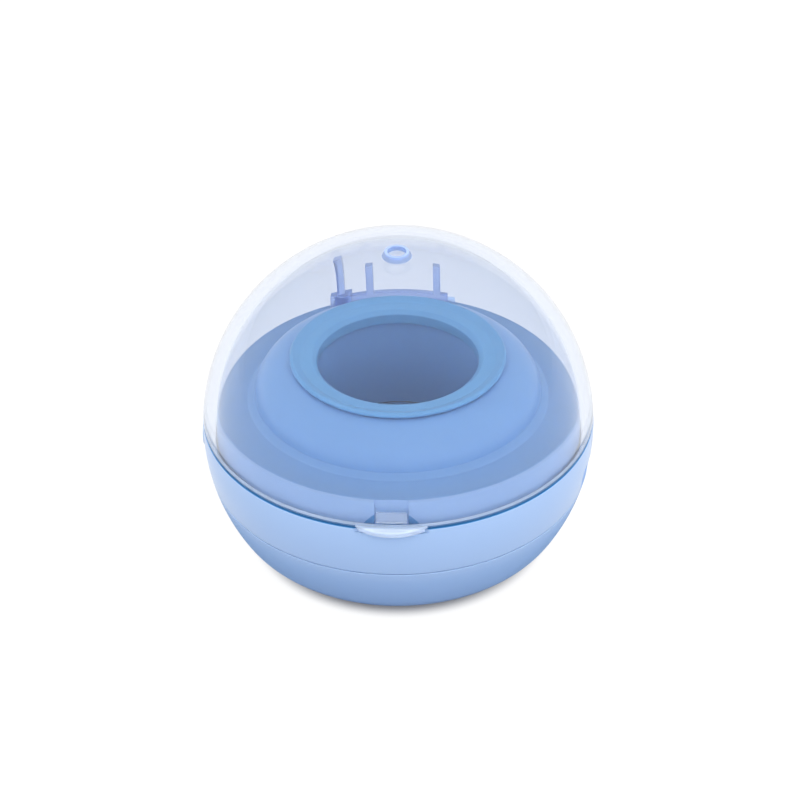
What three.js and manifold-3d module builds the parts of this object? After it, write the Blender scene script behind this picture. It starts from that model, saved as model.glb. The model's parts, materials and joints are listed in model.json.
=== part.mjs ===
// Ball-shaped ultraviolet sterilizer case: a clear hinged dome over a blue base.
// Millimetres, +Z up, front towards -Y. Heights named "...Z" count from the ball's centre.
import * as THREE from 'three';
import { mergeVertices } from 'three/addons/utils/BufferGeometryUtils.js';
import Module from 'manifold-3d';

const wasm = await Module();
wasm.setup();

// Driving dimensions of the casing. The ball is sized round the battery bay: its radius comes to 44.
const bayEndRoom = 18.25;
const shellWall = 2;
const lidWall = 3;
const lidRimWall = 2;
const rimStepZ = 9.2;
const clearance = 0.3;
const seamZ = 2.1;
const seamGap = 0.5;
const lowerSeamZ = -10.7;
const bottomZ = -28.6;
const bottomFillet = 13.2;
const roundSegments = 44;
const bowlSteps = 4;
const smallSegments = 20;
const mediumSegments = 24;
const fineSegments = 40;

// Inner cradle: collar, deck, mound and well
const collarGap = 1;
const collarTopGap = 0.93;
const deckZ = 8;
const deckWidth = 7.7;
const deckWall = 1.8;
const moundTopZ = 16.9;
const shelfZ = -1.5;
const shelfDepth = 1.7;
const shelfHeight = 1.5;
const lampRoom = 3.18;
const wellTaper = 2.2;
const wellWall = 1.5;
const wellFloorZ = -8.1;
const wellFlangeWall = 1.2;
const wellFlangeWidth = 2;
const wellSkirtDepth = 1.6;

// Seat ring round the mouth of the well
const seatWidth = 4.3;
const seatMargin = 0.3;
const seatLipHeight = 1.2;
const seatSkirtDepth = 3;
const seatSkirtWall = 1.4;
const seatLedgeDrop = 0.8;

// Lamp under its window
const windowThickness = 1;
const reflectorWall = 0.5;
const reflectorDepth = 2.8;
const lampTubeRadius = 1.6;
const lampBendRadius = 4;
const lampLegLength = 16;
const lampSocketLength = 3.3;
const lampSocketWidth = 13.2;

// Hinge at the back and lip at the front
const hingeOffset = 1.3;
const hingeAxisZ = 3.2;
const knuckleRadius = 2.6;
const lidKnuckleWidth = 17;
const baseKnuckleWidth = 4;
const hingePinRadius = 0.9;
const hingeLugDepth = 8.2;
const lipWidth = 15.3;
const lipReach = 2.2;
const lipBottomZ = 1.8;
const lipTopZ = 3.2;
const fingerRecessWidth = 16.6;
const fingerRecessReach = 2.2;
const fingerRecessZ = 1.2;
const catchWidth = 6.6;
const catchHeight = 2.4;
const catchDepth = 0.6;

// Ribs with their web and the raised ring, moulded on the dome
const ribThickness = 1.7;
const ribDepth = 1.6;
const ribFootZ = 8.6;
const ribSpacing = 8;
const shortRibTopZ = 21.5;
const tallRibTopZ = 28.5;
const tallRibX = -14.8;
const ribWebHeight = 1.7;
const ribWebReach = 2.6;
const apexRingRadius = 3.2;
const apexRingTaper = 0.5;
const apexRingBore = 2;
const apexRingHeight = 1.05;

// Lid magnet and the reed switch below it
const magnetRadius = 1.5;
const magnetHeight = 2;
const magnetInset = 5;
const magnetFootWidth = 5;
const magnetFootDepth = 5;
const magnetFootHeight = 3.2;
const reedRadius = 1;
const reedLength = 7;
const reedInset = 3.5;

// Power button at the left
const buttonRadius = 3.25;
const buttonZ = -3.6;
const buttonProud = 0.45;
const buttonTravel = 0.8;
const buttonFlangeRadius = 4.3;
const buttonFlangeWall = 1;
const buttonStemRadius = 1.5;
const buttonStemLength = 1;
const switchWidth = 6;
const switchDepth = 3.8;

// Power inlet at the right
const inletZ = -6.9;
const inletWidth = 7.5;
const inletHeight = 2.8;
const inletDepth = 5.6;
const inletWall = 0.4;
const inletRecessMargin = 1.4;
const inletRecessDepth = 1;
const inletDegrees = -11;

// Control board and what stands on it
const boardThickness = 1.6;
const boardWellRoom = 1.6;
const boardEdgeRoom = 3.8;
const boardStartDegrees = -35;
const boardEndDegrees = 215;
const transformerSize = [12, 9, 8];
const transformerDegrees = 50;
const capacitorRadius = 3;
const capacitorHeight = 9;
const capacitorDegrees = 122;
const chipSize = [7, 5, 1.2];
const chipDegrees = 150;
const ledRadius = 1.5;
const ledHeight = 3.4;
const ledDegrees = 194;
const tallPartShift = 3;

// Cells, their holder and cover
const cellRadius = 5.25;
const cellLength = 43.3;
const cellPitch = 11.1;
const cellCount = 3;
const cellNubRadius = 1.9;
const cellNubLength = 1;
const cellZ = -20.6;
const holderWall = 1.2;
const holderTopRoom = 0.55;
const contactThickness = 0.4;
const contactHeight = 8;
const springLength = 2.5;
const springRadius = 3;
const coverMargin = 0.35;
const coverLift = 2;
const coverCornerRadius = 4;
const coverTabRadius = 4.2;
const tongueWidth = 6;
const tongueX = 12;
const tongueReach = 2;
const tongueThickness = 0.8;

// Screws and feet
const screwRadius = 1.2;
const screwHeadRadius = 2.4;
const screwHeadHeight = 1.5;
const screwHeadRecess = 3.3;
const screwEntry = 7.5;
const bossRadius = 3.6;
const boardBossRadius = 2.6;
const bossRoom = 0.55;
const endScrewRoom = 4.65;
const coverScrewHeadHeight = 0.7;
const coverScrewLength = 10;
const footRadius = 3.2;
const footTaper = 0.3;
const footProud = 0.8;
const footRecess = 0.9;
const footX = 14;
const footRoom = 4.45;

// Values worked out from the driving dimensions
const bayLength = cellLength + cellNubLength + springLength + 2 * contactThickness + 5 * clearance;
const bayWidth = cellCount * cellPitch + 2 * clearance;
const bayTopZ = cellZ + cellRadius + holderTopRoom;
const holderLength = bayLength + 2 * holderWall;
const holderWidth = bayWidth + 2 * holderWall;
const ballRadius = holderLength / 2 + bayEndRoom;
const floorZ = bottomZ + shellWall;
const innerRadius = ballRadius - shellWall;
const lidInnerRadius = ballRadius - lidWall;
const lidRimRadius = ballRadius - lidRimWall;
const lidEdgeZ = seamZ + seamGap;
const collarRadius = lidRimRadius - collarGap;
const collarTopRadius = radiusAt(deckZ, lidRimRadius) - collarTopGap;
const moundBaseRadius = collarTopRadius - deckWidth;
const lampReach = lampLegLength / 2 + 1 + clearance + lampSocketLength;
const wellFloorRadius = Math.hypot(lampReach, lampSocketWidth / 2) + lampRoom;
const wellTopRadius = wellFloorRadius + wellTaper;
const seatOuterRadius = wellTopRadius + seatWidth;
const moundShoulderRadius = seatOuterRadius + seatMargin;
const hingeAxisY = ballRadius + hingeOffset;
const magnetY = lidInnerRadius - magnetInset;
const boardTopZ = inletZ - inletHeight / 2 - clearance;
const boardBottomZ = boardTopZ - boardThickness;
const boardInnerRadius = wellFloorRadius + 2 * wellWall + boardWellRoom;
const boardOuterRadius = innerRadius - boardEdgeRoom;
const boardPartRadius = (boardInnerRadius + boardOuterRadius) / 2;
const bossSplitZ = boardBottomZ - 1;
const wellBottomZ = wellFloorZ - wellFlangeWall - wellSkirtDepth;
const reflectorRimZ = wellFloorZ - wellFlangeWall - clearance;
const lampZ = reflectorRimZ - reflectorDepth + clearance + lampTubeRadius + 0.1;
const coverLength = holderLength - 2 * coverMargin;
const coverWidth = holderWidth - 2 * coverMargin;
const sideScrewX = holderLength / 2 + bossRadius + bossRoom;
const endScrewY = holderWidth / 2 + endScrewRoom;
const coverScrewY = -endScrewY;
const footY = holderWidth / 2 + footRoom;
const screwSpots = [[-sideScrewX, 0], [sideScrewX, 0], [0, endScrewY]];
const ballCentreHeight = footProud - bottomZ;
const hingeReach = hingeAxisY + knuckleRadius;
const buttonFaceX = ballRadius + buttonProud - 0.15;

// Helpers that turn three.js geometry into solids and back

function toSolid(geometry) {
  const bare = geometry.index ? geometry.toNonIndexed() : geometry.clone();
  bare.deleteAttribute('normal');
  bare.deleteAttribute('uv');
  const merged = mergeVertices(bare, 1e-4);
  const positions = merged.attributes.position.array;
  const triangles = [];
  for (let i = 0; i < merged.index.count; i += 3) {
    const [a, b, c] = [0, 1, 2].map((k) => merged.index.getX(i + k));
    if (a !== b && b !== c && c !== a) {
      triangles.push([a, b, c]);
    }
  }
  const corner = (index) => new THREE.Vector3().fromArray(positions, 3 * index);
  const volume = triangles.reduce((sum, [a, b, c]) => sum + corner(a).cross(corner(b)).dot(corner(c)), 0);
  const outward = volume > 0 ? triangles : triangles.map(([a, b, c]) => [a, c, b]);
  return new wasm.Manifold(new wasm.Mesh({
    numProp: 3,
    vertProperties: new Float32Array(positions),
    triVerts: new Uint32Array(outward.flat()),
  }));
}

function toGeometry(solid) {
  const mesh = solid.getMesh();
  const geometry = new THREE.BufferGeometry();
  const positions = new Float32Array(mesh.numVert * 3);
  for (let i = 0; i < mesh.numVert; i += 1) {
    for (let k = 0; k < 3; k += 1) {
      positions[3 * i + k] = mesh.vertProperties[mesh.numProp * i + k];
    }
  }
  geometry.setAttribute('position', new THREE.BufferAttribute(positions, 3));
  geometry.setIndex(new THREE.BufferAttribute(new Uint32Array(mesh.triVerts), 1));
  geometry.computeVertexNormals();
  return geometry;
}

function join(solids) {
  return solids.reduce((whole, next) => whole.add(next));
}

function cut(solid, tools) {
  return tools.reduce((rest, tool) => rest.subtract(tool), solid);
}

// A profile of [radius, height] pairs turned about Z
function turned(profile, segments = roundSegments) {
  const points = profile.map(([radius, height]) => new THREE.Vector2(radius, height));
  const first = points[0];
  const last = points[points.length - 1];
  if (first.x > 0 || last.x > 0) {
    points.push(first.clone());
  }
  const geometry = new THREE.LatheGeometry(points, segments);
  geometry.rotateX(Math.PI / 2);
  return toSolid(geometry);
}

function block(lowX, highX, lowY, highY, lowZ, highZ) {
  const geometry = new THREE.BoxGeometry(highX - lowX, highY - lowY, highZ - lowZ);
  geometry.translate((lowX + highX) / 2, (lowY + highY) / 2, (lowZ + highZ) / 2);
  return toSolid(geometry);
}

function rodZ(x, y, radius, lowZ, highZ, segments = smallSegments) {
  const geometry = new THREE.CylinderGeometry(radius, radius, highZ - lowZ, segments);
  geometry.rotateX(Math.PI / 2);
  geometry.translate(x, y, (lowZ + highZ) / 2);
  return toSolid(geometry);
}

function rodX(lowX, highX, y, z, radius, segments = smallSegments) {
  const geometry = new THREE.CylinderGeometry(radius, radius, highX - lowX, segments);
  geometry.rotateZ(Math.PI / 2);
  geometry.translate((lowX + highX) / 2, y, z);
  return toSolid(geometry);
}

// An outline in the XY plane pushed along Z
function pushedZ(shape, lowZ, highZ, curveSegments = 6) {
  const geometry = new THREE.ExtrudeGeometry(shape, {
    depth: highZ - lowZ, bevelEnabled: false, curveSegments,
  });
  geometry.translate(0, 0, lowZ);
  return toSolid(geometry);
}

function ball(radius) {
  return turned(arc(0, 0, radius, -90, 90, 18));
}

// Points of [radius, height] along an arc, from one angle to another in degrees
function arc(centreRadius, centreZ, radius, fromDegrees, toDegrees, steps) {
  return Array.from({ length: steps + 1 }, (unused, i) => {
    const angle = THREE.MathUtils.degToRad(fromDegrees + (toDegrees - fromDegrees) * i / steps);
    const across = centreRadius + radius * Math.cos(angle);
    return [Math.abs(across) < 1e-9 ? 0 : across, centreZ + radius * Math.sin(angle)];
  });
}

function degreesAt(height, radius) {
  return THREE.MathUtils.radToDeg(Math.asin(height / radius));
}

function radiusAt(height, radius) {
  return Math.sqrt(radius * radius - height * height);
}

function roundedRectangle(width, depth, corner) {
  const shape = new THREE.Shape();
  const x = width / 2;
  const y = depth / 2;
  shape.moveTo(-x + corner, -y);
  shape.lineTo(x - corner, -y);
  shape.absarc(x - corner, -y + corner, corner, -Math.PI / 2, 0);
  shape.lineTo(x, y - corner);
  shape.absarc(x - corner, y - corner, corner, 0, Math.PI / 2);
  shape.lineTo(-x + corner, y);
  shape.absarc(-x + corner, y - corner, corner, Math.PI / 2, Math.PI);
  shape.lineTo(-x, -y + corner);
  shape.absarc(-x + corner, -y + corner, corner, Math.PI, Math.PI * 1.5);
  return shape;
}

// Radius of an arc with this chord and this height above the chord
function arcRadius(chord, rise) {
  return (chord * chord / 4 + rise * rise) / (2 * rise);
}

// Bottom of the ball: flat, a fillet and the sphere, for a wall that lies inset by some distance
function bowlProfile(inset, topZ, steps) {
  const filletZ = bottomZ + bottomFillet;
  const filletR = Math.sqrt((ballRadius - bottomFillet) ** 2 - filletZ ** 2);
  const meet = THREE.MathUtils.radToDeg(Math.atan2(filletZ, filletR));
  const radius = ballRadius - inset;
  return [
    [0, bottomZ + inset],
    ...arc(filletR, filletZ, bottomFillet - inset, -90, meet, steps),
    ...arc(0, 0, radius, meet, degreesAt(topZ, radius), steps).slice(1),
  ];
}

// Casing

function coverOutline(grow) {
  const top = floorZ + coverLift;
  const plate = pushedZ(
    roundedRectangle(coverLength + 2 * grow, coverWidth + 2 * grow, coverCornerRadius + grow),
    bottomZ - 1, top,
  );
  const reach = coverTabRadius + grow;
  const tab = rodZ(0, coverScrewY, reach, bottomZ - 1, top, mediumSegments);
  const neck = block(-reach, reach, coverScrewY, -coverWidth / 2 + 1, bottomZ - 1, top);
  return join([plate, tab, neck]);
}

function bareBowl() {
  const outer = bowlProfile(0, lowerSeamZ - clearance, bowlSteps);
  const inner = bowlProfile(shellWall, lowerSeamZ - clearance, bowlSteps).reverse();
  return turned([...outer, ...inner]);
}

function lowerShell() {
  const bosses = screwSpots.map(([x, y]) => rodZ(x, y, bossRadius, floorZ - 0.5, bossSplitZ - clearance));
  const coverBossDepth = 2 * (endScrewY - holderWidth / 2 - clearance);
  const coverBoss = block(
    -coverTabRadius, coverTabRadius,
    coverScrewY - coverBossDepth, -holderWidth / 2 - clearance,
    floorZ + clearance, floorZ + clearance + coverScrewLength,
  );
  const coverBossFoot = block(
    -coverTabRadius, coverTabRadius,
    coverScrewY - coverBossDepth, coverScrewY - coverTabRadius - 2 * clearance,
    floorZ - shellWall / 4, floorZ + 2 * clearance,
  );
  const inside = turned([...bowlProfile(shellWall / 2, bossSplitZ, bowlSteps), [0, bossSplitZ]]);
  const boss = join([...bosses, coverBoss, coverBossFoot]).intersect(inside);
  const holes = screwSpots.map(([x, y]) => rodZ(x, y, screwRadius + clearance, bottomZ - 1, 0));
  const recesses = screwSpots.map(([x, y]) => (
    rodZ(x, y, screwHeadRadius + clearance, bottomZ - 1, bottomZ + screwHeadRecess)
  ));
  const feet = footSpots().map(([x, y]) => (
    rodZ(x, y, footRadius + clearance, bottomZ - 1, bottomZ + footRecess)
  ));
  const coverHole = rodZ(0, coverScrewY, screwRadius + clearance, bottomZ, floorZ + coverScrewLength - 1);
  const shell = cut(bareBowl(), [coverOutline(clearance)]);
  return cut(join([shell, boss]), [...holes, ...recesses, ...feet, coverHole]);
}

function upperShell() {
  const innerTop = collarRadius + clearance;
  const shelfRadius = innerTop - shelfDepth;
  const shelfBottom = shelfZ - shelfHeight;
  const profile = [
    ...arc(0, 0, ballRadius, degreesAt(lowerSeamZ, ballRadius), degreesAt(seamZ, ballRadius), 4),
    [innerTop, seamZ],
    [innerTop, shelfZ],
    [shelfRadius, shelfZ],
    [shelfRadius, shelfBottom],
    ...arc(0, 0, innerRadius, degreesAt(shelfBottom - shelfDepth / 2, innerRadius),
      degreesAt(lowerSeamZ, innerRadius), 2),
  ];
  const lugs = [-1, 1].map((side) => hingeLug(side));
  const ring = join([turned(profile), ...lugs]);
  return cut(ring, [
    rodX(-lidKnuckleWidth / 2 - clearance, lidKnuckleWidth / 2 + clearance,
      hingeAxisY, hingeAxisZ, knuckleRadius + clearance),
    rodX(-hingeReach, hingeReach, hingeAxisY, hingeAxisZ, hingePinRadius + clearance),
    ...buttonClearance(),
    ...inletCuts(),
    fingerRecess(),
  ]);
}

// A lug that carries one of the base's two hinge knuckles
function hingeLug(side) {
  const near = side * (lidKnuckleWidth / 2 + clearance);
  const far = near + side * baseKnuckleWidth;
  const lowX = Math.min(near, far);
  const highX = Math.max(near, far);
  const shape = new THREE.Shape();
  const wallY = innerRadius + shellWall / 4;
  shape.moveTo(wallY, seamZ);
  shape.lineTo(wallY, seamZ - hingeLugDepth);
  shape.lineTo(innerRadius + shellWall, seamZ - hingeLugDepth);
  shape.absarc(hingeAxisY, hingeAxisZ, knuckleRadius, -Math.PI / 4, Math.PI * 1.15);
  shape.lineTo(wallY, seamZ);
  const geometry = new THREE.ExtrudeGeometry(shape, {
    depth: highX - lowX, bevelEnabled: false, curveSegments: 14,
  });
  geometry.rotateY(Math.PI / 2);
  geometry.rotateX(Math.PI / 2);
  geometry.translate(lowX, 0, 0);
  return toSolid(geometry);
}

function buttonClearance() {
  const flangeX = -buttonFlangeX() - 0.3;
  return [
    rodX(-ballRadius - 2, -innerRadius + 3, 0, buttonZ, buttonRadius + clearance, 28),
    rodX(flangeX, -boardOuterRadius + 2, 0, buttonZ, buttonFlangeRadius + clearance, 28),
  ];
}

// Where the button's flange meets the inside of the curved wall
function buttonFlangeX() {
  return radiusAt(Math.abs(buttonZ) + buttonFlangeRadius, innerRadius) - clearance;
}

function inletFaceX() {
  return radiusAt(inletZ, ballRadius) - inletRecessDepth;
}

function inletCuts() {
  const faceX = inletFaceX();
  const width = inletWidth + 2 * inletRecessMargin;
  const height = inletHeight + 2 * inletRecessMargin;
  const recess = block(
    faceX, ballRadius + 2, -width / 2, width / 2, inletZ - height / 2, inletZ + height / 2,
  );
  const halfHole = inletWidth / 2 + clearance;
  const halfHeight = inletHeight / 2 + clearance;
  const hole = block(
    faceX - inletDepth, faceX + 1, -halfHole, halfHole, inletZ - halfHeight, inletZ + halfHeight,
  );
  return [recess, hole].map((piece) => piece.rotate([0, 0, inletDegrees]));
}

// A lens-shaped pocket in the ring's top below the lid's lip
function fingerRecess() {
  const tipY = radiusAt(fingerRecessWidth / 2, ballRadius);
  const innerY = ballRadius - fingerRecessReach;
  const radius = arcRadius(fingerRecessWidth, tipY - innerY);
  return rodZ(0, -innerY - radius, radius, fingerRecessZ, lidEdgeZ, 96);
}

function moundProfile() {
  const bulge = arc(0, 0, 1, 4, 84, 6).map(([across, up]) => [
    moundShoulderRadius - 2 + (moundBaseRadius - moundShoulderRadius + 1.3) * across,
    deckZ + 0.7 + (moundTopZ - deckZ - 0.7) * up,
  ]);
  return [[moundBaseRadius + 1, deckZ], [moundBaseRadius + 0.1, deckZ + 0.35], ...bulge];
}

function cradle() {
  const underMound = moundProfile().map(([radius, z]) => [radius - deckWall * 0.8, z - deckWall]);
  const flangeInner = wellFloorRadius - wellFlangeWidth;
  const skirtInner = wellFloorRadius + wellWall;
  const top = [
    [collarRadius, shelfZ + clearance],
    [collarRadius, seamZ],
    [collarTopRadius + 0.1, deckZ - 0.6],
    [collarTopRadius - 0.5, deckZ],
    ...moundProfile(),
    [wellTopRadius + 0.4, moundTopZ],
    [wellTopRadius, moundTopZ - 0.4],
    [wellFloorRadius, wellFloorZ + windowThickness + clearance],
    [wellFloorRadius, wellFloorZ],
    [flangeInner, wellFloorZ],
    [flangeInner, wellFloorZ - wellFlangeWall],
    [skirtInner, wellFloorZ - wellFlangeWall],
    [skirtInner, wellBottomZ],
    [skirtInner + wellWall, wellBottomZ],
    [wellTopRadius + wellWall, moundTopZ - deckWall - 0.4],
    ...underMound.reverse(),
    [collarTopRadius - deckWall + 0.7, deckZ - deckWall],
    [collarRadius - deckWall, shelfZ + clearance],
  ];
  const shell = turned(top);
  const solidTop = turned([
    [0, bossSplitZ],
    [collarRadius - deckWall, bossSplitZ],
    [collarRadius - deckWall, deckZ - deckWall / 2],
    ...moundProfile().map(([radius, z]) => [radius - 0.7, z - deckWall / 2]),
    [0, moundTopZ - deckWall / 2],
  ]);
  const spots = screwSpots;
  const wide = spots.map(([x, y]) => rodZ(x, y, bossRadius, boardTopZ + clearance, moundTopZ));
  const narrow = spots.map(([x, y]) => rodZ(x, y, boardBossRadius, bossSplitZ, boardTopZ + clearance + 1));
  const bosses = join([...wide, ...narrow]).intersect(solidTop);
  const holes = spots.map(([x, y]) => (
    rodZ(x, y, screwRadius + clearance, bossSplitZ - 1, bossSplitZ + screwEntry + clearance)
  ));
  const bore = turned([
    [0, wellBottomZ - 1], [skirtInner + 0.2, wellBottomZ - 1],
    [skirtInner + 0.2, wellFloorZ - wellFlangeWall],
    [flangeInner, wellFloorZ - wellFlangeWall], [flangeInner, wellFloorZ],
    [wellFloorRadius, wellFloorZ], [wellTopRadius, moundTopZ], [0, moundTopZ],
  ]);
  const notchWidth = catchWidth + 2 * clearance;
  const notch = block(-notchWidth / 2, notchWidth / 2,
    -collarRadius - 1, -collarTopRadius + catchDepth / 2 + 0.2, seamZ, deckZ + 1);
  return cut(join([shell, bosses.subtract(bore)]), [...holes, notch, buttonClearance()[1]]);
}

function seatRing() {
  const skirtOuter = wellTopRadius - clearance;
  const skirtInner = skirtOuter - seatSkirtWall;
  const baseZ = moundTopZ + clearance;
  const topZ = baseZ + seatLipHeight;
  const ledgeZ = topZ - seatLedgeDrop;
  const lip = seatLipHeight / 2;
  return turned([
    [skirtInner, baseZ - seatSkirtDepth],
    [skirtOuter, baseZ - seatSkirtDepth],
    [skirtOuter, baseZ],
    [seatOuterRadius - 0.3, baseZ],
    ...arc(seatOuterRadius - lip, topZ - lip, lip, -20, 100, 4),
    [seatOuterRadius - lip - 1.6, ledgeZ + 0.1],
    [skirtOuter, ledgeZ],
    [skirtInner + 0.4, ledgeZ - 0.2],
    [skirtInner, ledgeZ - 0.7],
  ]);
}

// Lamp

function lampWindow() {
  const low = wellFloorZ + clearance;
  return rodZ(0, 0, wellFloorRadius - clearance, low, low + windowThickness, fineSegments);
}

function lampReflector() {
  const rimRadius = wellFloorRadius + wellWall - clearance;
  const mouth = wellFloorRadius - wellFlangeWidth - 0.9;
  const foot = mouth - 3;
  const deep = reflectorRimZ - reflectorDepth;
  const dish = turned([
    [0, deep - reflectorWall],
    [foot + 0.3, deep - reflectorWall],
    [mouth + 0.2, reflectorRimZ - reflectorWall],
    [rimRadius, reflectorRimZ - reflectorWall],
    [rimRadius, reflectorRimZ],
    [mouth, reflectorRimZ],
    [foot, deep],
    [0, deep],
  ], fineSegments);
  const [low, high, side] = lampSocketBox();
  return dish.subtract(block(
    low - 0.6, high + clearance, -side - clearance, side + clearance, deep - 2, reflectorRimZ + 1,
  ));
}

// Low X, high X and half width of the lamp's socket
function lampSocketBox() {
  const high = -lampLegLength / 2 - 1 - clearance;
  return [high - lampSocketLength, high, lampSocketWidth / 2];
}

function lampSocket() {
  const [low, high, side] = lampSocketBox();
  return block(low, high, -side, side, lampZ - lampTubeRadius, lampZ + lampTubeRadius - 0.2);
}

// Centre line of the bent tube: one leg, the bend and the other leg
class LampLine extends THREE.Curve {
  getPoint(t, target = new THREE.Vector3()) {
    const bend = Math.PI * lampBendRadius;
    const along = t * (2 * lampLegLength + bend);
    const startX = -lampLegLength / 2 - 1;
    const endX = startX + lampLegLength;
    if (along < lampLegLength) {
      return target.set(startX + along, -lampBendRadius, lampZ);
    }
    if (along > lampLegLength + bend) {
      return target.set(endX - (along - lampLegLength - bend), lampBendRadius, lampZ);
    }
    const angle = (along - lampLegLength) / lampBendRadius - Math.PI / 2;
    return target.set(endX + lampBendRadius * Math.cos(angle), lampBendRadius * Math.sin(angle), lampZ);
  }
}

function lampTube() {
  const section = new THREE.Shape();
  section.absarc(0, 0, lampTubeRadius, 0, Math.PI * 2);
  const geometry = new THREE.ExtrudeGeometry(section, {
    steps: 22, extrudePath: new LampLine(), curveSegments: 8, bevelEnabled: false,
  });
  return toSolid(geometry);
}

// Electronics

function boardSpot(degrees, radius = boardPartRadius) {
  const angle = THREE.MathUtils.degToRad(degrees);
  return [radius * Math.cos(angle), radius * Math.sin(angle)];
}

function controlBoard() {
  const from = THREE.MathUtils.degToRad(boardStartDegrees);
  const to = THREE.MathUtils.degToRad(boardEndDegrees);
  const shape = new THREE.Shape();
  shape.absarc(0, 0, boardOuterRadius, from, to, false);
  shape.absarc(0, 0, boardInnerRadius, to, from, true);
  const plate = pushedZ(shape, boardBottomZ, boardTopZ, 18);
  const holes = screwSpots.map(([x, y]) => (
    rodZ(x, y, boardBossRadius + clearance, boardBottomZ - 1, boardTopZ + 1)
  ));
  return cut(plate, holes);
}

function boardBlock(size, degrees) {
  const [length, width, height] = size;
  const geometry = new THREE.BoxGeometry(length, width, height);
  geometry.rotateZ(THREE.MathUtils.degToRad(degrees));
  const [x, y] = boardSpot(degrees);
  geometry.translate(x, y, boardTopZ + clearance + height / 2);
  return toSolid(geometry);
}

function boardRod(radius, height, degrees) {
  const [x, y] = boardSpot(degrees, boardPartRadius + tallPartShift);
  return rodZ(x, y, radius, boardTopZ + clearance, boardTopZ + clearance + height, 16);
}

function buttonSwitch() {
  const face = -buttonFlangeX() + buttonFlangeWall + buttonStemLength + buttonTravel + clearance;
  return block(face, face + switchDepth, -switchWidth / 2, switchWidth / 2,
    boardTopZ + clearance, buttonZ + switchWidth / 2);
}

function inletSocket() {
  const face = inletFaceX() - 0.2;
  const halfWidth = inletWidth / 2;
  const halfHeight = inletHeight / 2;
  const body = block(
    face - inletDepth, face, -halfWidth, halfWidth, inletZ - halfHeight, inletZ + halfHeight,
  );
  const mouthWidth = halfWidth - inletWall;
  const mouthHeight = halfHeight - inletWall;
  const mouth = block(
    face - inletDepth + inletWall, face + 1, -mouthWidth, mouthWidth,
    inletZ - mouthHeight, inletZ + mouthHeight,
  );
  const tongueLow = face - inletDepth + inletWall / 2;
  const tongue = block(tongueLow, face - 1, -halfWidth + 1.5, halfWidth - 1.5, inletZ - 0.1, inletZ + 0.5);
  return body.subtract(mouth).add(tongue).rotate([0, 0, inletDegrees]);
}

function reedSwitch() {
  const z = deckZ - deckWall - clearance - reedRadius;
  return rodX(tallRibX - reedLength / 2, tallRibX + reedLength / 2, magnetY - reedInset, z, reedRadius, 12);
}

// Power button, pushed along +X

function powerButton() {
  const flange = buttonFlangeX();
  const face = buttonFaceX;
  const profile = [
    [0, flange - buttonFlangeWall - buttonStemLength],
    [buttonStemRadius, flange - buttonFlangeWall - buttonStemLength],
    [buttonStemRadius, flange - buttonFlangeWall],
    [buttonFlangeRadius, flange - buttonFlangeWall],
    [buttonFlangeRadius, flange],
    [buttonRadius, flange],
    [buttonRadius, face - 0.5],
    [buttonRadius - 0.35, face - 0.15],
    [buttonRadius / 2, face - 0.03],
    [0, face],
  ];
  const points = profile.map(([radius, height]) => new THREE.Vector2(radius, height));
  const geometry = new THREE.LatheGeometry(points, 28);
  geometry.rotateZ(Math.PI / 2);
  geometry.translate(0, 0, buttonZ);
  return toSolid(geometry);
}

// Cells and battery bay

function cellSpots() {
  return Array.from({ length: cellCount }, (unused, i) => ({
    y: (i - (cellCount - 1) / 2) * cellPitch,
    side: i % 2 === 0 ? 1 : -1,
  }));
}

function contactFaceX() {
  return bayLength / 2 - clearance - contactThickness;
}

function cell({ y, side }) {
  const tip = contactFaceX() - clearance;
  const shoulder = tip - cellNubLength;
  const tail = shoulder - cellLength;
  const span = (a, b) => [Math.min(side * a, side * b), Math.max(side * a, side * b)];
  const body = rodX(...span(tail, shoulder), y, cellZ, cellRadius, mediumSegments);
  const nub = rodX(...span(shoulder - 0.5, tip), y, cellZ, cellNubRadius, smallSegments);
  return body.add(nub);
}

function contactSpring({ y, side }) {
  const wide = contactFaceX() - clearance;
  const geometry = new THREE.CylinderGeometry(springRadius, springRadius * 0.7, springLength, 12);
  geometry.rotateZ(side * Math.PI / 2);
  geometry.translate(-side * (wide - springLength / 2), y, cellZ);
  return toSolid(geometry);
}

function contactPlate(side) {
  const near = side * contactFaceX();
  const far = side * (contactFaceX() + contactThickness);
  const half = bayWidth / 2 - 1;
  return block(Math.min(near, far), Math.max(near, far), -half, half,
    cellZ - contactHeight / 2, cellZ + contactHeight / 2);
}

function batteryHolder() {
  const outer = block(-holderLength / 2, holderLength / 2, -holderWidth / 2, holderWidth / 2,
    floorZ + clearance, bayTopZ + holderWall);
  const bay = block(-bayLength / 2, bayLength / 2, -bayWidth / 2, bayWidth / 2, floorZ - 1, bayTopZ);
  const room = turned([...bowlProfile(shellWall + clearance, lowerSeamZ, bowlSteps), [0, lowerSeamZ]]);
  const slots = tongueSpots().map((x) => block(
    x - tongueWidth / 2 - clearance, x + tongueWidth / 2 + clearance,
    bayWidth / 2 - 1, holderWidth / 2 + 1, floorZ - 1, floorZ + 2 * clearance + tongueThickness,
  ));
  return cut(outer.subtract(bay).intersect(room), slots);
}

function tongueSpots() {
  return [-tongueX, tongueX];
}

function batteryCover() {
  const skin = bareBowl().intersect(coverOutline(0));
  const tongues = tongueSpots().flatMap((x) => {
    const low = x - tongueWidth / 2;
    const high = x + tongueWidth / 2;
    const top = floorZ + clearance + tongueThickness;
    const root = coverWidth / 2 - 1.4;
    return [
      block(low, high, root, coverWidth / 2, floorZ - 0.5, top),
      block(low, high, root, coverWidth / 2 + clearance + tongueReach, floorZ + clearance, top),
    ];
  });
  const recess = rodZ(0, coverScrewY, screwHeadRadius + clearance,
    bottomZ - 1, bottomZ + coverScrewHeadHeight + 2 * clearance);
  const hole = rodZ(0, coverScrewY, screwRadius + clearance, bottomZ - 1, floorZ + 1);
  return cut(join([skin, ...tongues]), [recess, hole]);
}

// Screws and feet

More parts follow.
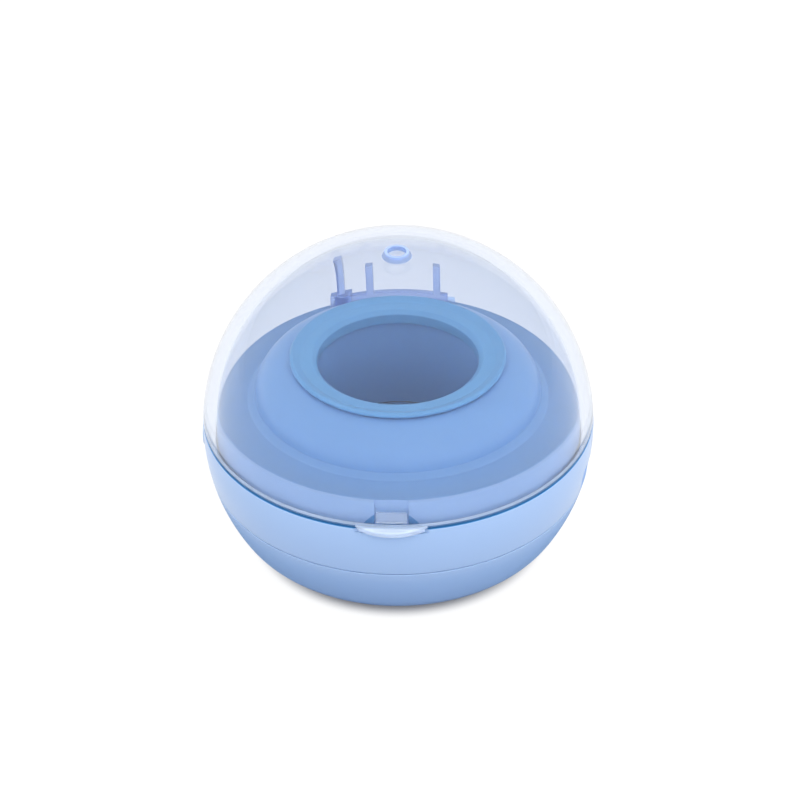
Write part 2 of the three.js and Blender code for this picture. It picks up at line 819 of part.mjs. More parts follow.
function footSpots() {
  return [[-footX, -footY], [footX, -footY], [-footX, footY], [footX, footY]];
}

function screw(x, y, headZ, headHeight, tipZ) {
  const head = rodZ(x, y, screwHeadRadius, headZ, headZ + headHeight, 18);
  const shank = rodZ(x, y, screwRadius, headZ + headHeight / 2, tipZ, 12);
  const slotDepth = headHeight * 0.45;
  const arm = screwHeadRadius * 0.62;
  const cross = [[arm, 0.3], [0.3, arm]].map(([halfX, halfY]) => (
    block(x - halfX, x + halfX, y - halfY, y + halfY, headZ - 1, headZ + slotDepth)
  ));
  return cut(head.add(shank), cross);
}

function caseScrew([x, y]) {
  const headTop = bottomZ + screwHeadRecess - clearance;
  return screw(x, y, headTop - screwHeadHeight, screwHeadHeight, bossSplitZ + screwEntry);
}

function coverScrew() {
  return screw(0, coverScrewY, bottomZ + clearance, coverScrewHeadHeight, floorZ + coverScrewLength - 2);
}

function foot([x, y]) {
  const height = footProud + footRecess - clearance;
  const geometry = new THREE.CylinderGeometry(footRadius, footRadius - footTaper, height, mediumSegments);
  geometry.rotateX(Math.PI / 2);
  geometry.translate(x, y, bottomZ - footProud + height / 2);
  return toSolid(geometry);
}

// Clear dome

function lidDome() {
  const stepZ = rimStepZ - (lidWall - lidRimWall) / 2;
  const shell = turned([
    ...arc(0, 0, lidInnerRadius, 90, degreesAt(rimStepZ, lidInnerRadius), 10),
    ...arc(0, 0, lidRimRadius, degreesAt(stepZ, lidRimRadius), degreesAt(lidEdgeZ, lidRimRadius), 2),
    ...arc(0, 0, ballRadius, degreesAt(lidEdgeZ, ballRadius), 90, 11),
  ]);
  const ringBase = ballRadius - lidWall / 2;
  const apexRing = turned([
    [apexRingBore, ringBase],
    [apexRingRadius, ringBase],
    [apexRingRadius, ballRadius - 0.1],
    [apexRingRadius - apexRingTaper, ballRadius + apexRingHeight],
    [apexRingBore, ballRadius + apexRingHeight],
  ], 28);
  const halfKnuckle = lidKnuckleWidth / 2;
  const knuckle = rodX(-halfKnuckle, halfKnuckle, hingeAxisY, hingeAxisZ, knuckleRadius, mediumSegments);
  const knuckleGap = halfKnuckle + baseKnuckleWidth + 2 * clearance;
  const lugRoom = knuckleRadius + clearance;
  const lugGaps = [-1, 1].map((side) => {
    const ends = [side * halfKnuckle, side * knuckleGap];
    return rodX(Math.min(...ends), Math.max(...ends), hingeAxisY, hingeAxisZ, lugRoom, mediumSegments);
  });
  const whole = join([shell, apexRing, knuckle, ...domeRibs(), magnetHolder(), ...thumbLip(), lidCatch()]);
  return cut(whole, [
    ...lugGaps,
    rodX(-hingeReach, hingeReach, hingeAxisY, hingeAxisZ, hingePinRadius + clearance),
    rodZ(tallRibX, magnetY, magnetRadius + clearance, ribFootZ - 1, ribFootZ + magnetHeight + 2 * clearance),
  ]);
}

// Three upright ribs inside the back wall and the low web between their feet
function domeRibs() {
  const band = ball(ballRadius - lidWall / 2).subtract(ball(lidInnerRadius - ribDepth));
  const half = ribThickness / 2;
  const uprights = [
    [-ribSpacing, shortRibTopZ],
    [ribSpacing, shortRibTopZ],
    [tallRibX, tallRibTopZ],
  ].map(([x, topZ]) => block(x - half, x + half, 0, ballRadius, ribFootZ, topZ));
  const webEnd = ribSpacing + ribWebReach;
  const web = block(tallRibX, webEnd, 0, ballRadius, ribFootZ, ribFootZ + ribWebHeight);
  return [...uprights, web].map((piece) => band.intersect(piece));
}

function magnetHolder() {
  const half = magnetFootWidth / 2;
  const body = block(tallRibX - half, tallRibX + half, magnetY - magnetFootDepth / 2, ballRadius,
    ribFootZ, ribFootZ + magnetFootHeight);
  return body.intersect(ball(ballRadius - lidWall / 2));
}

// A lip that stands out from the rim as a lens: its upper part is joined to the dome, its lower part
// hangs in front of the ring
function thumbLip() {
  const tipY = radiusAt(lipWidth / 2, ballRadius);
  const reach = ballRadius + lipReach;
  const radius = arcRadius(lipWidth, reach - tipY);
  const disc = rodZ(0, radius - reach, radius, lipBottomZ, lipTopZ, 96);
  const front = disc.intersect(
    block(-lipWidth, lipWidth, -reach - 1, -lidRimRadius / 2, lipBottomZ, lipTopZ),
  );
  const upper = front.subtract(ball(ballRadius - lidRimWall / 2));
  const lower = front.subtract(turned([
    [0, lipBottomZ - 1], [ballRadius + clearance, lipBottomZ - 1],
    [ballRadius + clearance, lidEdgeZ], [0, lidEdgeZ],
  ], 96));
  return [upper.intersect(lower)];
}

function lidCatch() {
  const band = ball(ballRadius - lidRimWall / 2).subtract(ball(lidRimRadius - catchDepth));
  return band.intersect(block(-catchWidth / 2, catchWidth / 2, -ballRadius, 0,
    lidEdgeZ + clearance, lidEdgeZ + clearance + catchHeight));
}

function lidMagnet() {
  const low = ribFootZ + clearance;
  return rodZ(tallRibX, magnetY, magnetRadius, low, low + magnetHeight, 16);
}

function hingePin() {
  const half = lidKnuckleWidth / 2 + clearance + baseKnuckleWidth - 0.2;
  return rodX(-half, half, hingeAxisY, hingeAxisZ, hingePinRadius, 12);
}

// Finishes

const clearTint = { color: 0xdfe8fb, roughness: 0.05, metalness: 0, transparent: true, opacity: 0.35 };
const baseBlue = { color: 0xa3c0ea, roughness: 0.3, metalness: 0 };
const cradleBlue = { color: 0x8caae1, roughness: 0.35, metalness: 0 };
const seatBlue = { color: 0x649bdc, roughness: 0.35, metalness: 0 };
const quartz = { color: 0xeef4fb, roughness: 0.03, metalness: 0, transparent: true, opacity: 0.4 };
const mirrorMetal = { color: 0xd8dce0, roughness: 0.08, metalness: 1 };
const lampGlass = { color: 0xf2f6ff, roughness: 0.1, metalness: 0 };
const whitePlastic = { color: 0xe8e8e4, roughness: 0.5, metalness: 0 };
const boardGreen = { color: 0x1f6b45, roughness: 0.5, metalness: 0 };
const blackPlastic = { color: 0x1c1c1e, roughness: 0.45, metalness: 0 };
const cellJacket = { color: 0x3a3f46, roughness: 0.35, metalness: 0.2 };
const steel = { color: 0xb9bcc0, roughness: 0.3, metalness: 1 };
const greyRubber = { color: 0x8d97a5, roughness: 0.8, metalness: 0 };

const casing = new THREE.Group();
casing.position.set(
  (buttonFaceX - ballRadius) / 2,
  (ballRadius + lipReach - hingeReach) / 2,
  ballCentreHeight,
);

function place(name, solid, finish) {
  const mesh = new THREE.Mesh(toGeometry(solid), new THREE.MeshStandardMaterial(finish));
  mesh.name = name;
  casing.add(mesh);
}

place('lower_shell', lowerShell(), baseBlue);
place('upper_shell', upperShell(), baseBlue);
place('inner_cradle', cradle(), cradleBlue);
place('seat_ring', seatRing(), seatBlue);
place('lamp_window', lampWindow(), quartz);
place('lamp_reflector', lampReflector(), mirrorMetal);
place('uv_lamp', lampTube(), lampGlass);
place('lamp_socket', lampSocket(), whitePlastic);
place('control_board', controlBoard(), boardGreen);
place('lamp_transformer', boardBlock(transformerSize, transformerDegrees), blackPlastic);
place('capacitor', boardRod(capacitorRadius, capacitorHeight, capacitorDegrees), blackPlastic);
place('driver_chip', boardBlock(chipSize, chipDegrees), blackPlastic);
place('status_led', boardRod(ledRadius, ledHeight, ledDegrees), lampGlass);
place('button_switch', buttonSwitch(), blackPlastic);
place('power_inlet', inletSocket(), steel);
place('reed_switch', reedSwitch(), lampGlass);
place('power_button', powerButton(), baseBlue);
place('battery_holder', batteryHolder(), whitePlastic);
cellSpots().forEach((spot, i) => place(`battery_${i + 1}`, cell(spot), cellJacket));
cellSpots().forEach((spot, i) => place(`contact_spring_${i + 1}`, contactSpring(spot), steel));
place('contact_plate_left', contactPlate(-1), steel);
place('contact_plate_right', contactPlate(1), steel);
place('battery_cover', batteryCover(), baseBlue);
place('cover_screw', coverScrew(), steel);
screwSpots.forEach((spot, i) => place(`case_screw_${i + 1}`, caseScrew(spot), steel));
footSpots().forEach((spot, i) => place(`foot_${i + 1}`, foot(spot), greyRubber));
place('hinge_pin', hingePin(), steel);
place('lid_dome', lidDome(), clearTint);
place('lid_magnet', lidMagnet(), steel);

const part = new THREE.Group();
part.add(casing);

export default part;
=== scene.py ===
# Ball-shaped sterilizer case: clear hinged dome over a blue base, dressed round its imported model
import bpy
import bmesh
import json
import math
from mathutils import Matrix, Vector
from types import SimpleNamespace as Values


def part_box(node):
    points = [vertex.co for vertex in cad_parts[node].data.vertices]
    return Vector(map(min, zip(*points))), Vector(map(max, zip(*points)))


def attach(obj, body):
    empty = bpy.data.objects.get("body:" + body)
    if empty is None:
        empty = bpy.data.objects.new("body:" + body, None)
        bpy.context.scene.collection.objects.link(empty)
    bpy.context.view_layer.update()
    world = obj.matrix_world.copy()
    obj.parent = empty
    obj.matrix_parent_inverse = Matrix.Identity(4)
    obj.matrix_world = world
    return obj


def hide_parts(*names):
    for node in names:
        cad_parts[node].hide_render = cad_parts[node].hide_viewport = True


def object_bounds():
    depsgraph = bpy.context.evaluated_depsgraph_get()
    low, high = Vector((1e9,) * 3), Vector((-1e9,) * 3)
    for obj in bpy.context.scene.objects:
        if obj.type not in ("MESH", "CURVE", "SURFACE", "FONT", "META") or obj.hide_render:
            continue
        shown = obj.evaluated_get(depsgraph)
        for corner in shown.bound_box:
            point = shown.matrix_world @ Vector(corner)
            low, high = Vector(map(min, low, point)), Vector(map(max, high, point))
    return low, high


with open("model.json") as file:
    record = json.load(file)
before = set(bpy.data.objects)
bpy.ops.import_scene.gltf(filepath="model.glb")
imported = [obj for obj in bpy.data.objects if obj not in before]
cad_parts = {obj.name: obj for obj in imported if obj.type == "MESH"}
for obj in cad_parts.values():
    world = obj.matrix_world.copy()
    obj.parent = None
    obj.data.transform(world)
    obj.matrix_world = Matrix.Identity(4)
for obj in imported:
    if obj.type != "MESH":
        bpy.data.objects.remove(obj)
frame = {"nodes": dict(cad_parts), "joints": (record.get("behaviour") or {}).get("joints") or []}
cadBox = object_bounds()
mm = 0.001
tiny = 1e-7  # points closer than this, in metres, are one point

# The ball that every piece is drawn round; heights and radii below are in mm from its centre
ball = Values(
    radius=44.0, wall=2.0, lidWall=3.0, lidRimWall=2.4, rimStep=9.2, apexRing=1.05,
    seam=2.1, lidEdge=2.6, lowerSeam=-10.7, gap=0.3, below=-30.0,
)
# Segments of round pieces: many where a wide curve shows, few where it is small or out of sight
facets = Values(
    plain=192, small=96, hidden=128, bore=72, knuckle=64, dome=256, lip=384, recess=480,
)
cradleLow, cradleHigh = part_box("inner_cradle")
ballCentre = Vector((
    (cradleLow.x + cradleHigh.x) / 2,
    (cradleLow.y + cradleHigh.y) / 2,
    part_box("lid_dome")[1].z - (ball.radius + ball.apexRing) * mm,
))
lidHinge = next(j for j in frame["joints"] if j["name"] == "lid_hinge")
hingeY = (lidHinge["pos_m"][1] - ballCentre.y) / mm
hingeZ = (lidHinge["pos_m"][2] - ballCentre.z) / mm


# Small tools for profiles and meshes

def place(x, y, z):
    return ballCentre + Vector((x, y, z)) * mm


def arc(centreR, centreZ, radius, start, end, steps):
    points = []
    for i in range(steps + 1):
        angle = math.radians(start + (end - start) * i / steps)
        points.append((centreR + radius * math.cos(angle), centreZ + radius * math.sin(angle)))
    return points


def heightAngle(z, radius):
    return math.degrees(math.asin(z / radius))


# Corners are (r, z) or (r, z, radius): those with a radius are rounded off
def soften(corners, steps=5):
    path = []
    count = len(corners)
    for i, corner in enumerate(corners):
        here = Vector(corner[:2])
        radius = corner[2] if len(corner) > 2 else 0
        before = Vector(corners[i - 1][:2]) - here
        after = Vector(corners[(i + 1) % count][:2]) - here
        opening = before.angle(after) if radius and before.length and after.length else math.pi
        if opening > math.pi - 0.01:
            path.append(tuple(here))
            continue
        reach = min(radius / math.tan(opening / 2), 0.49 * before.length, 0.49 * after.length)
        first = here + before.normalized() * reach
        last = here + after.normalized() * reach
        inward = (before.normalized() + after.normalized()).normalized()
        middle = here + inward * reach / math.cos(opening / 2)
        for k in range(steps + 1):
            t = k / steps
            point = first.lerp(last, t)
            point = middle + (point - middle).normalized() * (first - middle).length
            path.append(tuple(point))
    return path


def newObject(name, mesh, material=None):
    thing = bpy.data.objects.new(name, mesh)
    bpy.context.scene.collection.objects.link(thing)
    if material:
        mesh.materials.append(material)
    return thing


def finishMesh(name, bm, material=None, smoothAngle=32):
    bmesh.ops.remove_doubles(bm, verts=bm.verts, dist=tiny)
    bmesh.ops.recalc_face_normals(bm, faces=bm.faces)
    mesh = bpy.data.meshes.new(name)
    bm.to_mesh(mesh)
    bm.free()
    smoothOver(mesh, smoothAngle)
    return newObject(name, mesh, material)


def smoothOver(mesh, angle=32):
    mesh.polygons.foreach_set("use_smooth", [True] * len(mesh.polygons))
    mesh.set_sharp_from_angle(angle=math.radians(angle))
    mesh.update()


# A closed profile of (r, z) in mm, turned about the ball's upright axis
def lathe(name, profile, material=None, segments=facets.plain, smoothAngle=32):
    bm = bmesh.new()
    rings = []
    for r, z in profile:
        if r < 1e-6:
            rings.append([bm.verts.new(place(0, 0, z))])
            continue
        turn = [2 * math.pi * k / segments for k in range(segments)]
        rings.append([bm.verts.new(place(r * math.sin(a), -r * math.cos(a), z)) for a in turn])
    pairs = list(zip(rings, rings[1:]))
    if len(rings[0]) > 1:
        pairs.append((rings[-1], rings[0]))
    for low, high in pairs:
        for k in range(segments):
            nextK = (k + 1) % segments
            if len(low) == 1:
                bm.faces.new((low[0], high[nextK], high[k]))
            elif len(high) == 1:
                bm.faces.new((low[k], low[nextK], high[0]))
            else:
                bm.faces.new((low[k], low[nextK], high[nextK], high[k]))
    return finishMesh(name, bm, material, smoothAngle)


def boxPiece(name, low, high):
    bm = bmesh.new()
    bmesh.ops.create_cube(bm, size=1)
    middle = [(a + b) / 2 for a, b in zip(low, high)]
    size = [abs(b - a) * mm for a, b in zip(low, high)]
    bmesh.ops.scale(bm, vec=size, verts=bm.verts)
    bmesh.ops.translate(bm, vec=place(*middle), verts=bm.verts)
    return finishMesh(name, bm)


# An outline of points pushed along X, Y or Z. Its points are the other two, in X, Y, Z order
def prism(name, outline, axis, low, high):
    bm = bmesh.new()
    ends = []
    for level in (low, high):
        spots = [list(point) for point in outline]
        for spot in spots:
            spot.insert("xyz".index(axis), level)
        ends.append([bm.verts.new(place(*spot)) for spot in spots])
    near, far = ends
    bm.faces.new(near)
    bm.faces.new(list(reversed(far)))
    for k in range(len(near)):
        nextK = (k + 1) % len(near)
        bm.faces.new((near[k], far[k], far[nextK], near[nextK]))
    return finishMesh(name, bm)


# Turns a tool about the ball's upright axis
def turnAbout(tool, degrees):
    away = Matrix.Translation(ballCentre)
    tool.data.transform(away @ Matrix.Rotation(math.radians(degrees), 4, "Z") @ away.inverted())


def circle(centreA, centreB, radius, count=48):
    turns = [2 * math.pi * k / count for k in range(count)]
    return [(centreA + radius * math.cos(a), centreB + radius * math.sin(a)) for a in turns]


def sphereTool(name, radius):
    profile = arc(0, 0, radius, -90, 90, facets.small)
    profile[0] = (0, -radius)
    profile[-1] = (0, radius)
    return lathe(name, profile)


# Faces that a tool leaves take the piece's own finish, or the one that is named
def carve(target, tool, operation="DIFFERENCE", finish=None):
    tool.data.materials.clear()
    if finish or target.data.materials:
        tool.data.materials.append(finish or target.data.materials[0])
    modifier = target.modifiers.new("carve", "BOOLEAN")
    modifier.operation = operation
    modifier.solver = "MANIFOLD"
    modifier.material_mode = "TRANSFER"
    modifier.object = tool
    bake(target)
    bpy.data.objects.remove(tool)
    return target


# Turns the modifiers of a piece into its plain mesh
def bake(target):
    graph = bpy.context.evaluated_depsgraph_get()
    made = bpy.data.meshes.new_from_object(target.evaluated_get(graph))
    old = target.data
    target.modifiers.clear()
    target.data = made
    if old.users == 0:
        bpy.data.meshes.remove(old)


# A round hole along an axis, or a round post with UNION
def drill(target, centreA, centreB, radius, axis, low, high, count=48, operation="DIFFERENCE"):
    carve(target, prism("drill", circle(centreA, centreB, radius, count), axis, low, high), operation)


# Gives the faces that lie on one of the ball's spheres the sphere's own normals
def roundNormals(target, radii, smoothAngle=32, within=0.03, along=0.97):
    mesh = target.data
    smoothOver(mesh, smoothAngle)
    normals = [corner.vector.copy() for corner in mesh.corner_normals]
    for face in mesh.polygons:
        for loopIndex in face.loop_indices:
            out = mesh.vertices[mesh.loops[loopIndex].vertex_index].co - ballCentre
            near = any(abs(out.length / mm - radius) < within for radius in radii)
            facing = out.normalized().dot(face.normal)
            if near and abs(facing) > along:
                normals[loopIndex] = out.normalized() * (1 if facing > 0 else -1)
    mesh.normals_split_custom_set(normals)


def fit(piece, body, *nodes, slot):
    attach(piece, body)
    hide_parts(*nodes)


# Nodes, for materials, the world and Geometry Nodes alike

# Gives a node its inputs: another node's output is linked, a plain value is set
def feed(tree, node, inputs):
    for label, value in inputs.items():
        if isinstance(value, bpy.types.NodeSocket):
            tree.links.new(value, node.inputs[label])
        else:
            node.inputs[label].default_value = value


def addNode(tree, kind, inputs=None, **settings):
    node = tree.nodes.new(kind)
    for name, value in settings.items():
        setattr(node, name, value)
    feed(tree, node, inputs or {})
    return node


def mathNode(tree, operation, first, second=0.0):
    return addNode(tree, "ShaderNodeMath", {0: first, 1: second}, operation=operation).outputs["Value"]


def blend(tree, amount, first, second):
    ends = [(*colour, 1) if isinstance(colour, tuple) else colour for colour in (first, second)]
    mix = addNode(tree, "ShaderNodeMix", {"Factor": amount, "A": ends[0], "B": ends[1]}, data_type="RGBA")
    return mix.outputs["Result"]


# Noise on the piece's own coordinates, in cycles per metre
def speckle(tree, scale, detail=3):
    coords = tree.nodes.new("ShaderNodeTexCoord").outputs
    return addNode(tree, "ShaderNodeTexNoise", {
        "Scale": scale, "Detail": detail, "Vector": coords["Object"],
    }).outputs["Fac"]


# Two colours mixed by a noise
def tone(tree, source, low, high):
    ramp = addNode(tree, "ShaderNodeValToRGB", {"Fac": source})
    ramp.color_ramp.interpolation = "EASE"
    for element, position, colour in zip(ramp.color_ramp.elements, (0.2, 0.8), (low, high)):
        element.position = position
        element.color = (*colour, 1)
    return ramp.outputs["Color"]


def relief(tree, source, depth, strength):
    bump = addNode(tree, "ShaderNodeBump", {"Distance": depth, "Strength": strength, "Height": source})
    return bump.outputs["Normal"]


def spread(tree, source, low, high):
    node = addNode(tree, "ShaderNodeMapRange", {"To Min": low, "To Max": high, "Value": source})
    return node.outputs["Result"]


# Materials: scales in cycles per metre, depths in metres

grain = Values(
    flow=38.0, wear=90.0, skin=4200.0, skinDepth=0.000006, skinStrength=0.25,
    sway=22.0, marks=900.0, marksDepth=0.00001, marksStrength=0.15,
    dust=700.0, grit=5200.0, gritDepth=0.00003, gritStrength=0.4,
)
plastic = Values(
    index=1.49, smoother=0.012, rougher=0.014, coatRoughness=0.12,
    glowRadius=(0.002, 0.003, 0.005), glowScale=0.4,
)


def startMaterial(name):
    material = bpy.data.materials.new(name)
    material.use_nodes = True
    return material, material.node_tree, material.node_tree.nodes["Principled BSDF"]


# Pigmented plastic: a faint flow pattern in its colour and the tool's fine grain on its skin
def mouldedPlastic(name, low, high, roughness, coat=0.0, glow=0.0):
    material, tree, shader = startMaterial(name)
    wear = speckle(tree, grain.wear, 1)
    feed(tree, shader, {
        "Base Color": tone(tree, speckle(tree, grain.flow, 2), low, high),
        "Roughness": spread(tree, wear, roughness - plastic.smoother, roughness + plastic.rougher),
        "Normal": relief(tree, speckle(tree, grain.skin), grain.skinDepth, grain.skinStrength),
        "IOR": plastic.index,
        "Coat Weight": coat,
        "Coat Roughness": plastic.coatRoughness,
        "Subsurface Weight": glow,
        "Subsurface Radius": plastic.glowRadius,
        "Subsurface Scale": plastic.glowScale,
    })
    return material


def paler(colour):
    return tuple(min(1, c * 1.01) for c in colour)


# Clear polished plastic with a very slight unevenness from the mould
def clearMoulding(name, tint, roughness, index=plastic.index, clarity=1.0):
    material, tree, shader = startMaterial(name)
    feed(tree, shader, {
        "Base Color": tone(tree, speckle(tree, grain.sway, 1), tint, paler(tint)),
        "Transmission Weight": clarity,
        "IOR": index,
        "Roughness": roughness,
    })
    return material


def brightMetal(name, low, high, roughness):
    material, tree, shader = startMaterial(name)
    marks = speckle(tree, grain.marks, 4)
    feed(tree, shader, {
        "Base Color": tone(tree, marks, low, high),
        "Roughness": spread(tree, marks, roughness * 0.7, roughness * 1.4),
        "Normal": relief(tree, marks, grain.marksDepth, grain.marksStrength),
        "Metallic": 1,
    })
    return material


def softRubber(name, low, high):
    material, tree, shader = startMaterial(name)
    dust = speckle(tree, grain.dust, 4)
    feed(tree, shader, {
        "Base Color": tone(tree, dust, low, high),
        "Roughness": spread(tree, dust, 0.62, 0.82),
        "Normal": relief(tree, speckle(tree, grain.grit), grain.gritDepth, grain.gritStrength),
    })
    return material


finishes = {
    "case": mouldedPlastic("caseBlue", (0.345, 0.490, 0.735), (0.353, 0.500, 0.747), 0.31,
                           coat=0.3, glow=0.08),
    # painted light: a lighter copy of the cradle's blue for its collar, where the dome's shade falls
    "collar": mouldedPlastic("paintedLitCollar", (0.295, 0.458, 0.735), (0.302, 0.467, 0.745), 0.31, glow=0.08),
    "cradle": mouldedPlastic("cradleBlue", (0.174, 0.352, 0.645), (0.180, 0.361, 0.655), 0.31, glow=0.08),
    "seat": mouldedPlastic("seatBlue", (0.124, 0.335, 0.600), (0.130, 0.344, 0.610), 0.36, glow=0.05),
    "clear": clearMoulding("clearDome", (0.834, 0.857, 0.905), 0.01),
    "rib": clearMoulding("ribBlue", (0.42, 0.57, 0.95), 0.22, clarity=0.5),
    "lip": clearMoulding("lipFrost", (0.78, 0.87, 0.99), 0.08, clarity=0.6),
    # painted light: a light blue for the inner band of the dome's underside, in place of the shade behind
    # it
    "rim": mouldedPlastic("paintedRimLight", (0.58, 0.72, 0.93), (0.59, 0.73, 0.94), 0.31),
    # painted shade: a deep blue that stands for the shadowed gap at the seam and behind the lip
    "edge": mouldedPlastic("paintedSeamShade", (0.045, 0.230, 0.520), (0.048, 0.238, 0.535), 0.4),
    "quartz": clearMoulding("quartz", (0.97, 0.985, 1.0), 0.02, 1.45),
    "lamp": clearMoulding("lampGlass", (0.93, 0.95, 1.0), 0.08, 1.45),
    "mirror": brightMetal("mirrorMetal", (0.82, 0.83, 0.85), (0.87, 0.88, 0.9), 0.09),
    "steel": brightMetal("platedSteel", (0.56, 0.57, 0.59), (0.64, 0.65, 0.67), 0.26),
    "white": mouldedPlastic("whitePlastic", (0.78, 0.78, 0.75), (0.82, 0.82, 0.79), 0.45),
    "black": mouldedPlastic("blackPlastic", (0.012, 0.012, 0.014), (0.02, 0.02, 0.022), 0.4),
    "board": mouldedPlastic("circuitBoard", (0.01, 0.12, 0.05), (0.014, 0.15, 0.065), 0.35),
    "jacket": mouldedPlastic("cellJacket", (0.035, 0.045, 0.06), (0.05, 0.06, 0.08), 0.3, coat=0.4),
    "rubber": softRubber("greyRubber", (0.24, 0.28, 0.34), (0.29, 0.33, 0.40)),
}
print("materials made")


# Lower shell: a bowl with a flat foot, the gap round the battery cover and its recesses

bowl = Values(bottom=-28.6, fillet=13.2, rimRound=0.25, steps=30)
cover = Values(
    length=50.8, width=35.6, corner=4.0, tab=4.2, screwY=-22.8, lift=2.0, gripCount=4,
    gripPitch=1.6, gripWidth=0.7, gripDepth=0.35, gripHalf=6.0, gripFirst=11.6,
    bossDepth=8.7, bossHeight=10.0, holderEdge=18.45, bossFoot=0.6, screwRecess=1.3,
    hookX=12.0, hookHalf=3.0, hookWall=1.4, hookReach=2.3, hookTop=1.1,
)
screwPlaces = [(-29.9, 0.0), (29.9, 0.0), (0.0, 22.8)]
screwSize = Values(
    head=2.4, shank=1.2, headHeight=1.5, recess=3.3, boss=3.6, bossTop=-11.5,
    length=23.4, holeTop=-5.0,
)
screwHole = screwSize.shank + ball.gap
headRoom = screwSize.head + ball.gap
footPlaces = [(-14.0, -22.6), (14.0, -22.6), (-14.0, 22.6), (14.0, 22.6)]
footSize = Values(radius=3.2, proud=0.8, recess=0.9)


def bowlCurve(inset, topZ, steps):
    filletZ = bowl.bottom + bowl.fillet
    filletR = math.sqrt((ball.radius - bowl.fillet) ** 2 - filletZ ** 2)
    meet = math.degrees(math.atan2(filletZ, filletR))
    radius = ball.radius - inset
    lower = arc(filletR, filletZ, bowl.fillet - inset, -90, meet, steps)
    upper = arc(0, 0, radius, meet, heightAngle(topZ, radius), steps)[1:]
    flat = [(filletR * k / 4, bowl.bottom + inset) for k in range(4)]
    return flat + lower + upper


def roundedBox(width, depth, corner, steps=8):
    points = []
    for signX, signY, start in ((1, -1, -90), (1, 1, 0), (-1, 1, 90), (-1, -1, 180)):
        cornerX = signX * (width / 2 - corner)
        cornerY = signY * (depth / 2 - corner)
        points += arc(cornerX, cornerY, corner, start, start + 90, steps)
    return points


# The cover's outline: a rounded plate with a straight neck and a round tab for its screw
def coverOutline(grow):
    plate = roundedBox(cover.length + 2 * grow, cover.width + 2 * grow, cover.corner + grow)
    reach = cover.tab + grow
    edgeY = -cover.width / 2 - grow
    tab = arc(0, cover.screwY, reach, 180, 360, 20)
    return tab + [(reach, edgeY)] + plate + [(-reach, edgeY)]


def bowlShell(name, rimRound=0):
    topZ = ball.lowerSeam - ball.gap
    outer = bowlCurve(0, topZ, bowl.steps)
    inner = list(reversed(bowlCurve(ball.wall, topZ, bowl.steps)))
    if not rimRound:
        return lathe(name, outer + inner, finishes["case"])
    outer[-1] = (*outer[-1], rimRound)
    inner[0] = (*inner[0], rimRound)
    return lathe(name, soften(outer + inner, 4), finishes["case"])


# The block behind the cover's tab that its screw bites into, on a foot beside the opening
def addCoverBoss(shell, floorZ):
    reach = cover.tab
    backY = cover.screwY - cover.bossDepth
    footY = cover.screwY - reach - cover.bossFoot
    topZ = floorZ + ball.gap + cover.bossHeight
    block = boxPiece("coverBoss", (-reach, backY, floorZ + ball.gap), (reach, -cover.holderEdge, topZ))
    foot = boxPiece("bossFoot", (-reach, backY, floorZ - 0.5), (reach, footY, floorZ + 0.6))
    carve(block, foot, "UNION")
    inside = bowlCurve(ball.wall / 2, ball.lowerSeam - 1, 20) + [(0, ball.lowerSeam - 1)]
    carve(block, lathe("inside", inside, segments=facets.hidden), "INTERSECT")
    carve(shell, block, "UNION")
    drill(shell, 0, cover.screwY, screwHole, "z", floorZ, floorZ + cover.bossHeight - 1)


def makeLowerShell():
    shell = bowlShell("lowerShell", bowl.rimRound)
    bottom = bowl.bottom
    floorZ = bottom + ball.wall
    for x, y in screwPlaces:
        drill(shell, x, y, screwSize.boss, "z", floorZ - 0.3, screwSize.bossTop, operation="UNION")
        drill(shell, x, y, screwHole, "z", ball.below, screwSize.holeTop)
        drill(shell, x, y, headRoom, "z", ball.below, bottom + screwSize.recess)
    for x, y in footPlaces:
        drill(shell, x, y, footSize.radius + ball.gap, "z", ball.below, bottom + footSize.recess)
    carve(shell, prism("opening", coverOutline(ball.gap), "z", ball.below, floorZ + cover.lift))
    addCoverBoss(shell, floorZ)
    roundNormals(shell, [ball.radius, ball.radius - ball.wall])
    fit(shell, "base", "lower_shell", slot="case_blue")


def makeBatteryCover():
    plate = bowlShell("batteryCover")
    floorZ = bowl.bottom + ball.wall
    carve(plate, prism("outline", coverOutline(0), "z", ball.below, floorZ + cover.lift), "INTERSECT")
    edgeY = cover.width / 2
    # each hook is a root on the plate and a tongue that reaches over the shell's floor
    for x in (-cover.hookX, cover.hookX):
        for lowZ, farY in ((-0.5, edgeY), (ball.gap, edgeY + cover.hookReach)):
            hook = boxPiece("hook", (x - cover.hookHalf, edgeY - cover.hookWall, floorZ + lowZ),
                            (x + cover.hookHalf, farY, floorZ + cover.hookTop))
            carve(plate, hook, "UNION")
    drill(plate, 0, cover.screwY, headRoom, "z", ball.below, bowl.bottom + cover.screwRecess)
    drill(plate, 0, cover.screwY, screwHole, "z", ball.below, floorZ + 1)
    for k in range(cover.gripCount):
        y = cover.gripFirst + k * cover.gripPitch
        top = (cover.gripHalf, y + cover.gripWidth, bowl.bottom + cover.gripDepth)
        carve(plate, boxPiece("grip", (-cover.gripHalf, y, ball.below), top))
    smoothOver(plate.data, 30)
    fit(plate, "base", "battery_cover", slot="case_blue")


# Gives the faces that a rule picks, by their middle in mm, a finish of their own
def paintFaces(target, finish, rule):
    target.data.materials.append(finish)
    last = len(target.data.materials) - 1
    for face in target.data.polygons:
        if rule((face.center - ballCentre) / mm, face):
            face.material_index = last


# The same for the level faces at a height and between two radii
def paintLevel(target, z, fromR, toR, finish):
    def onLevel(spot, face):
        level = abs(spot.z - z) < 0.06 and abs(face.normal.z) > 0.8
        return level and fromR < math.hypot(spot.x, spot.y) < toR

    paintFaces(target, finish, onLevel)


# Upper shell: the band between the seams, with the hinge lugs and the cut-outs

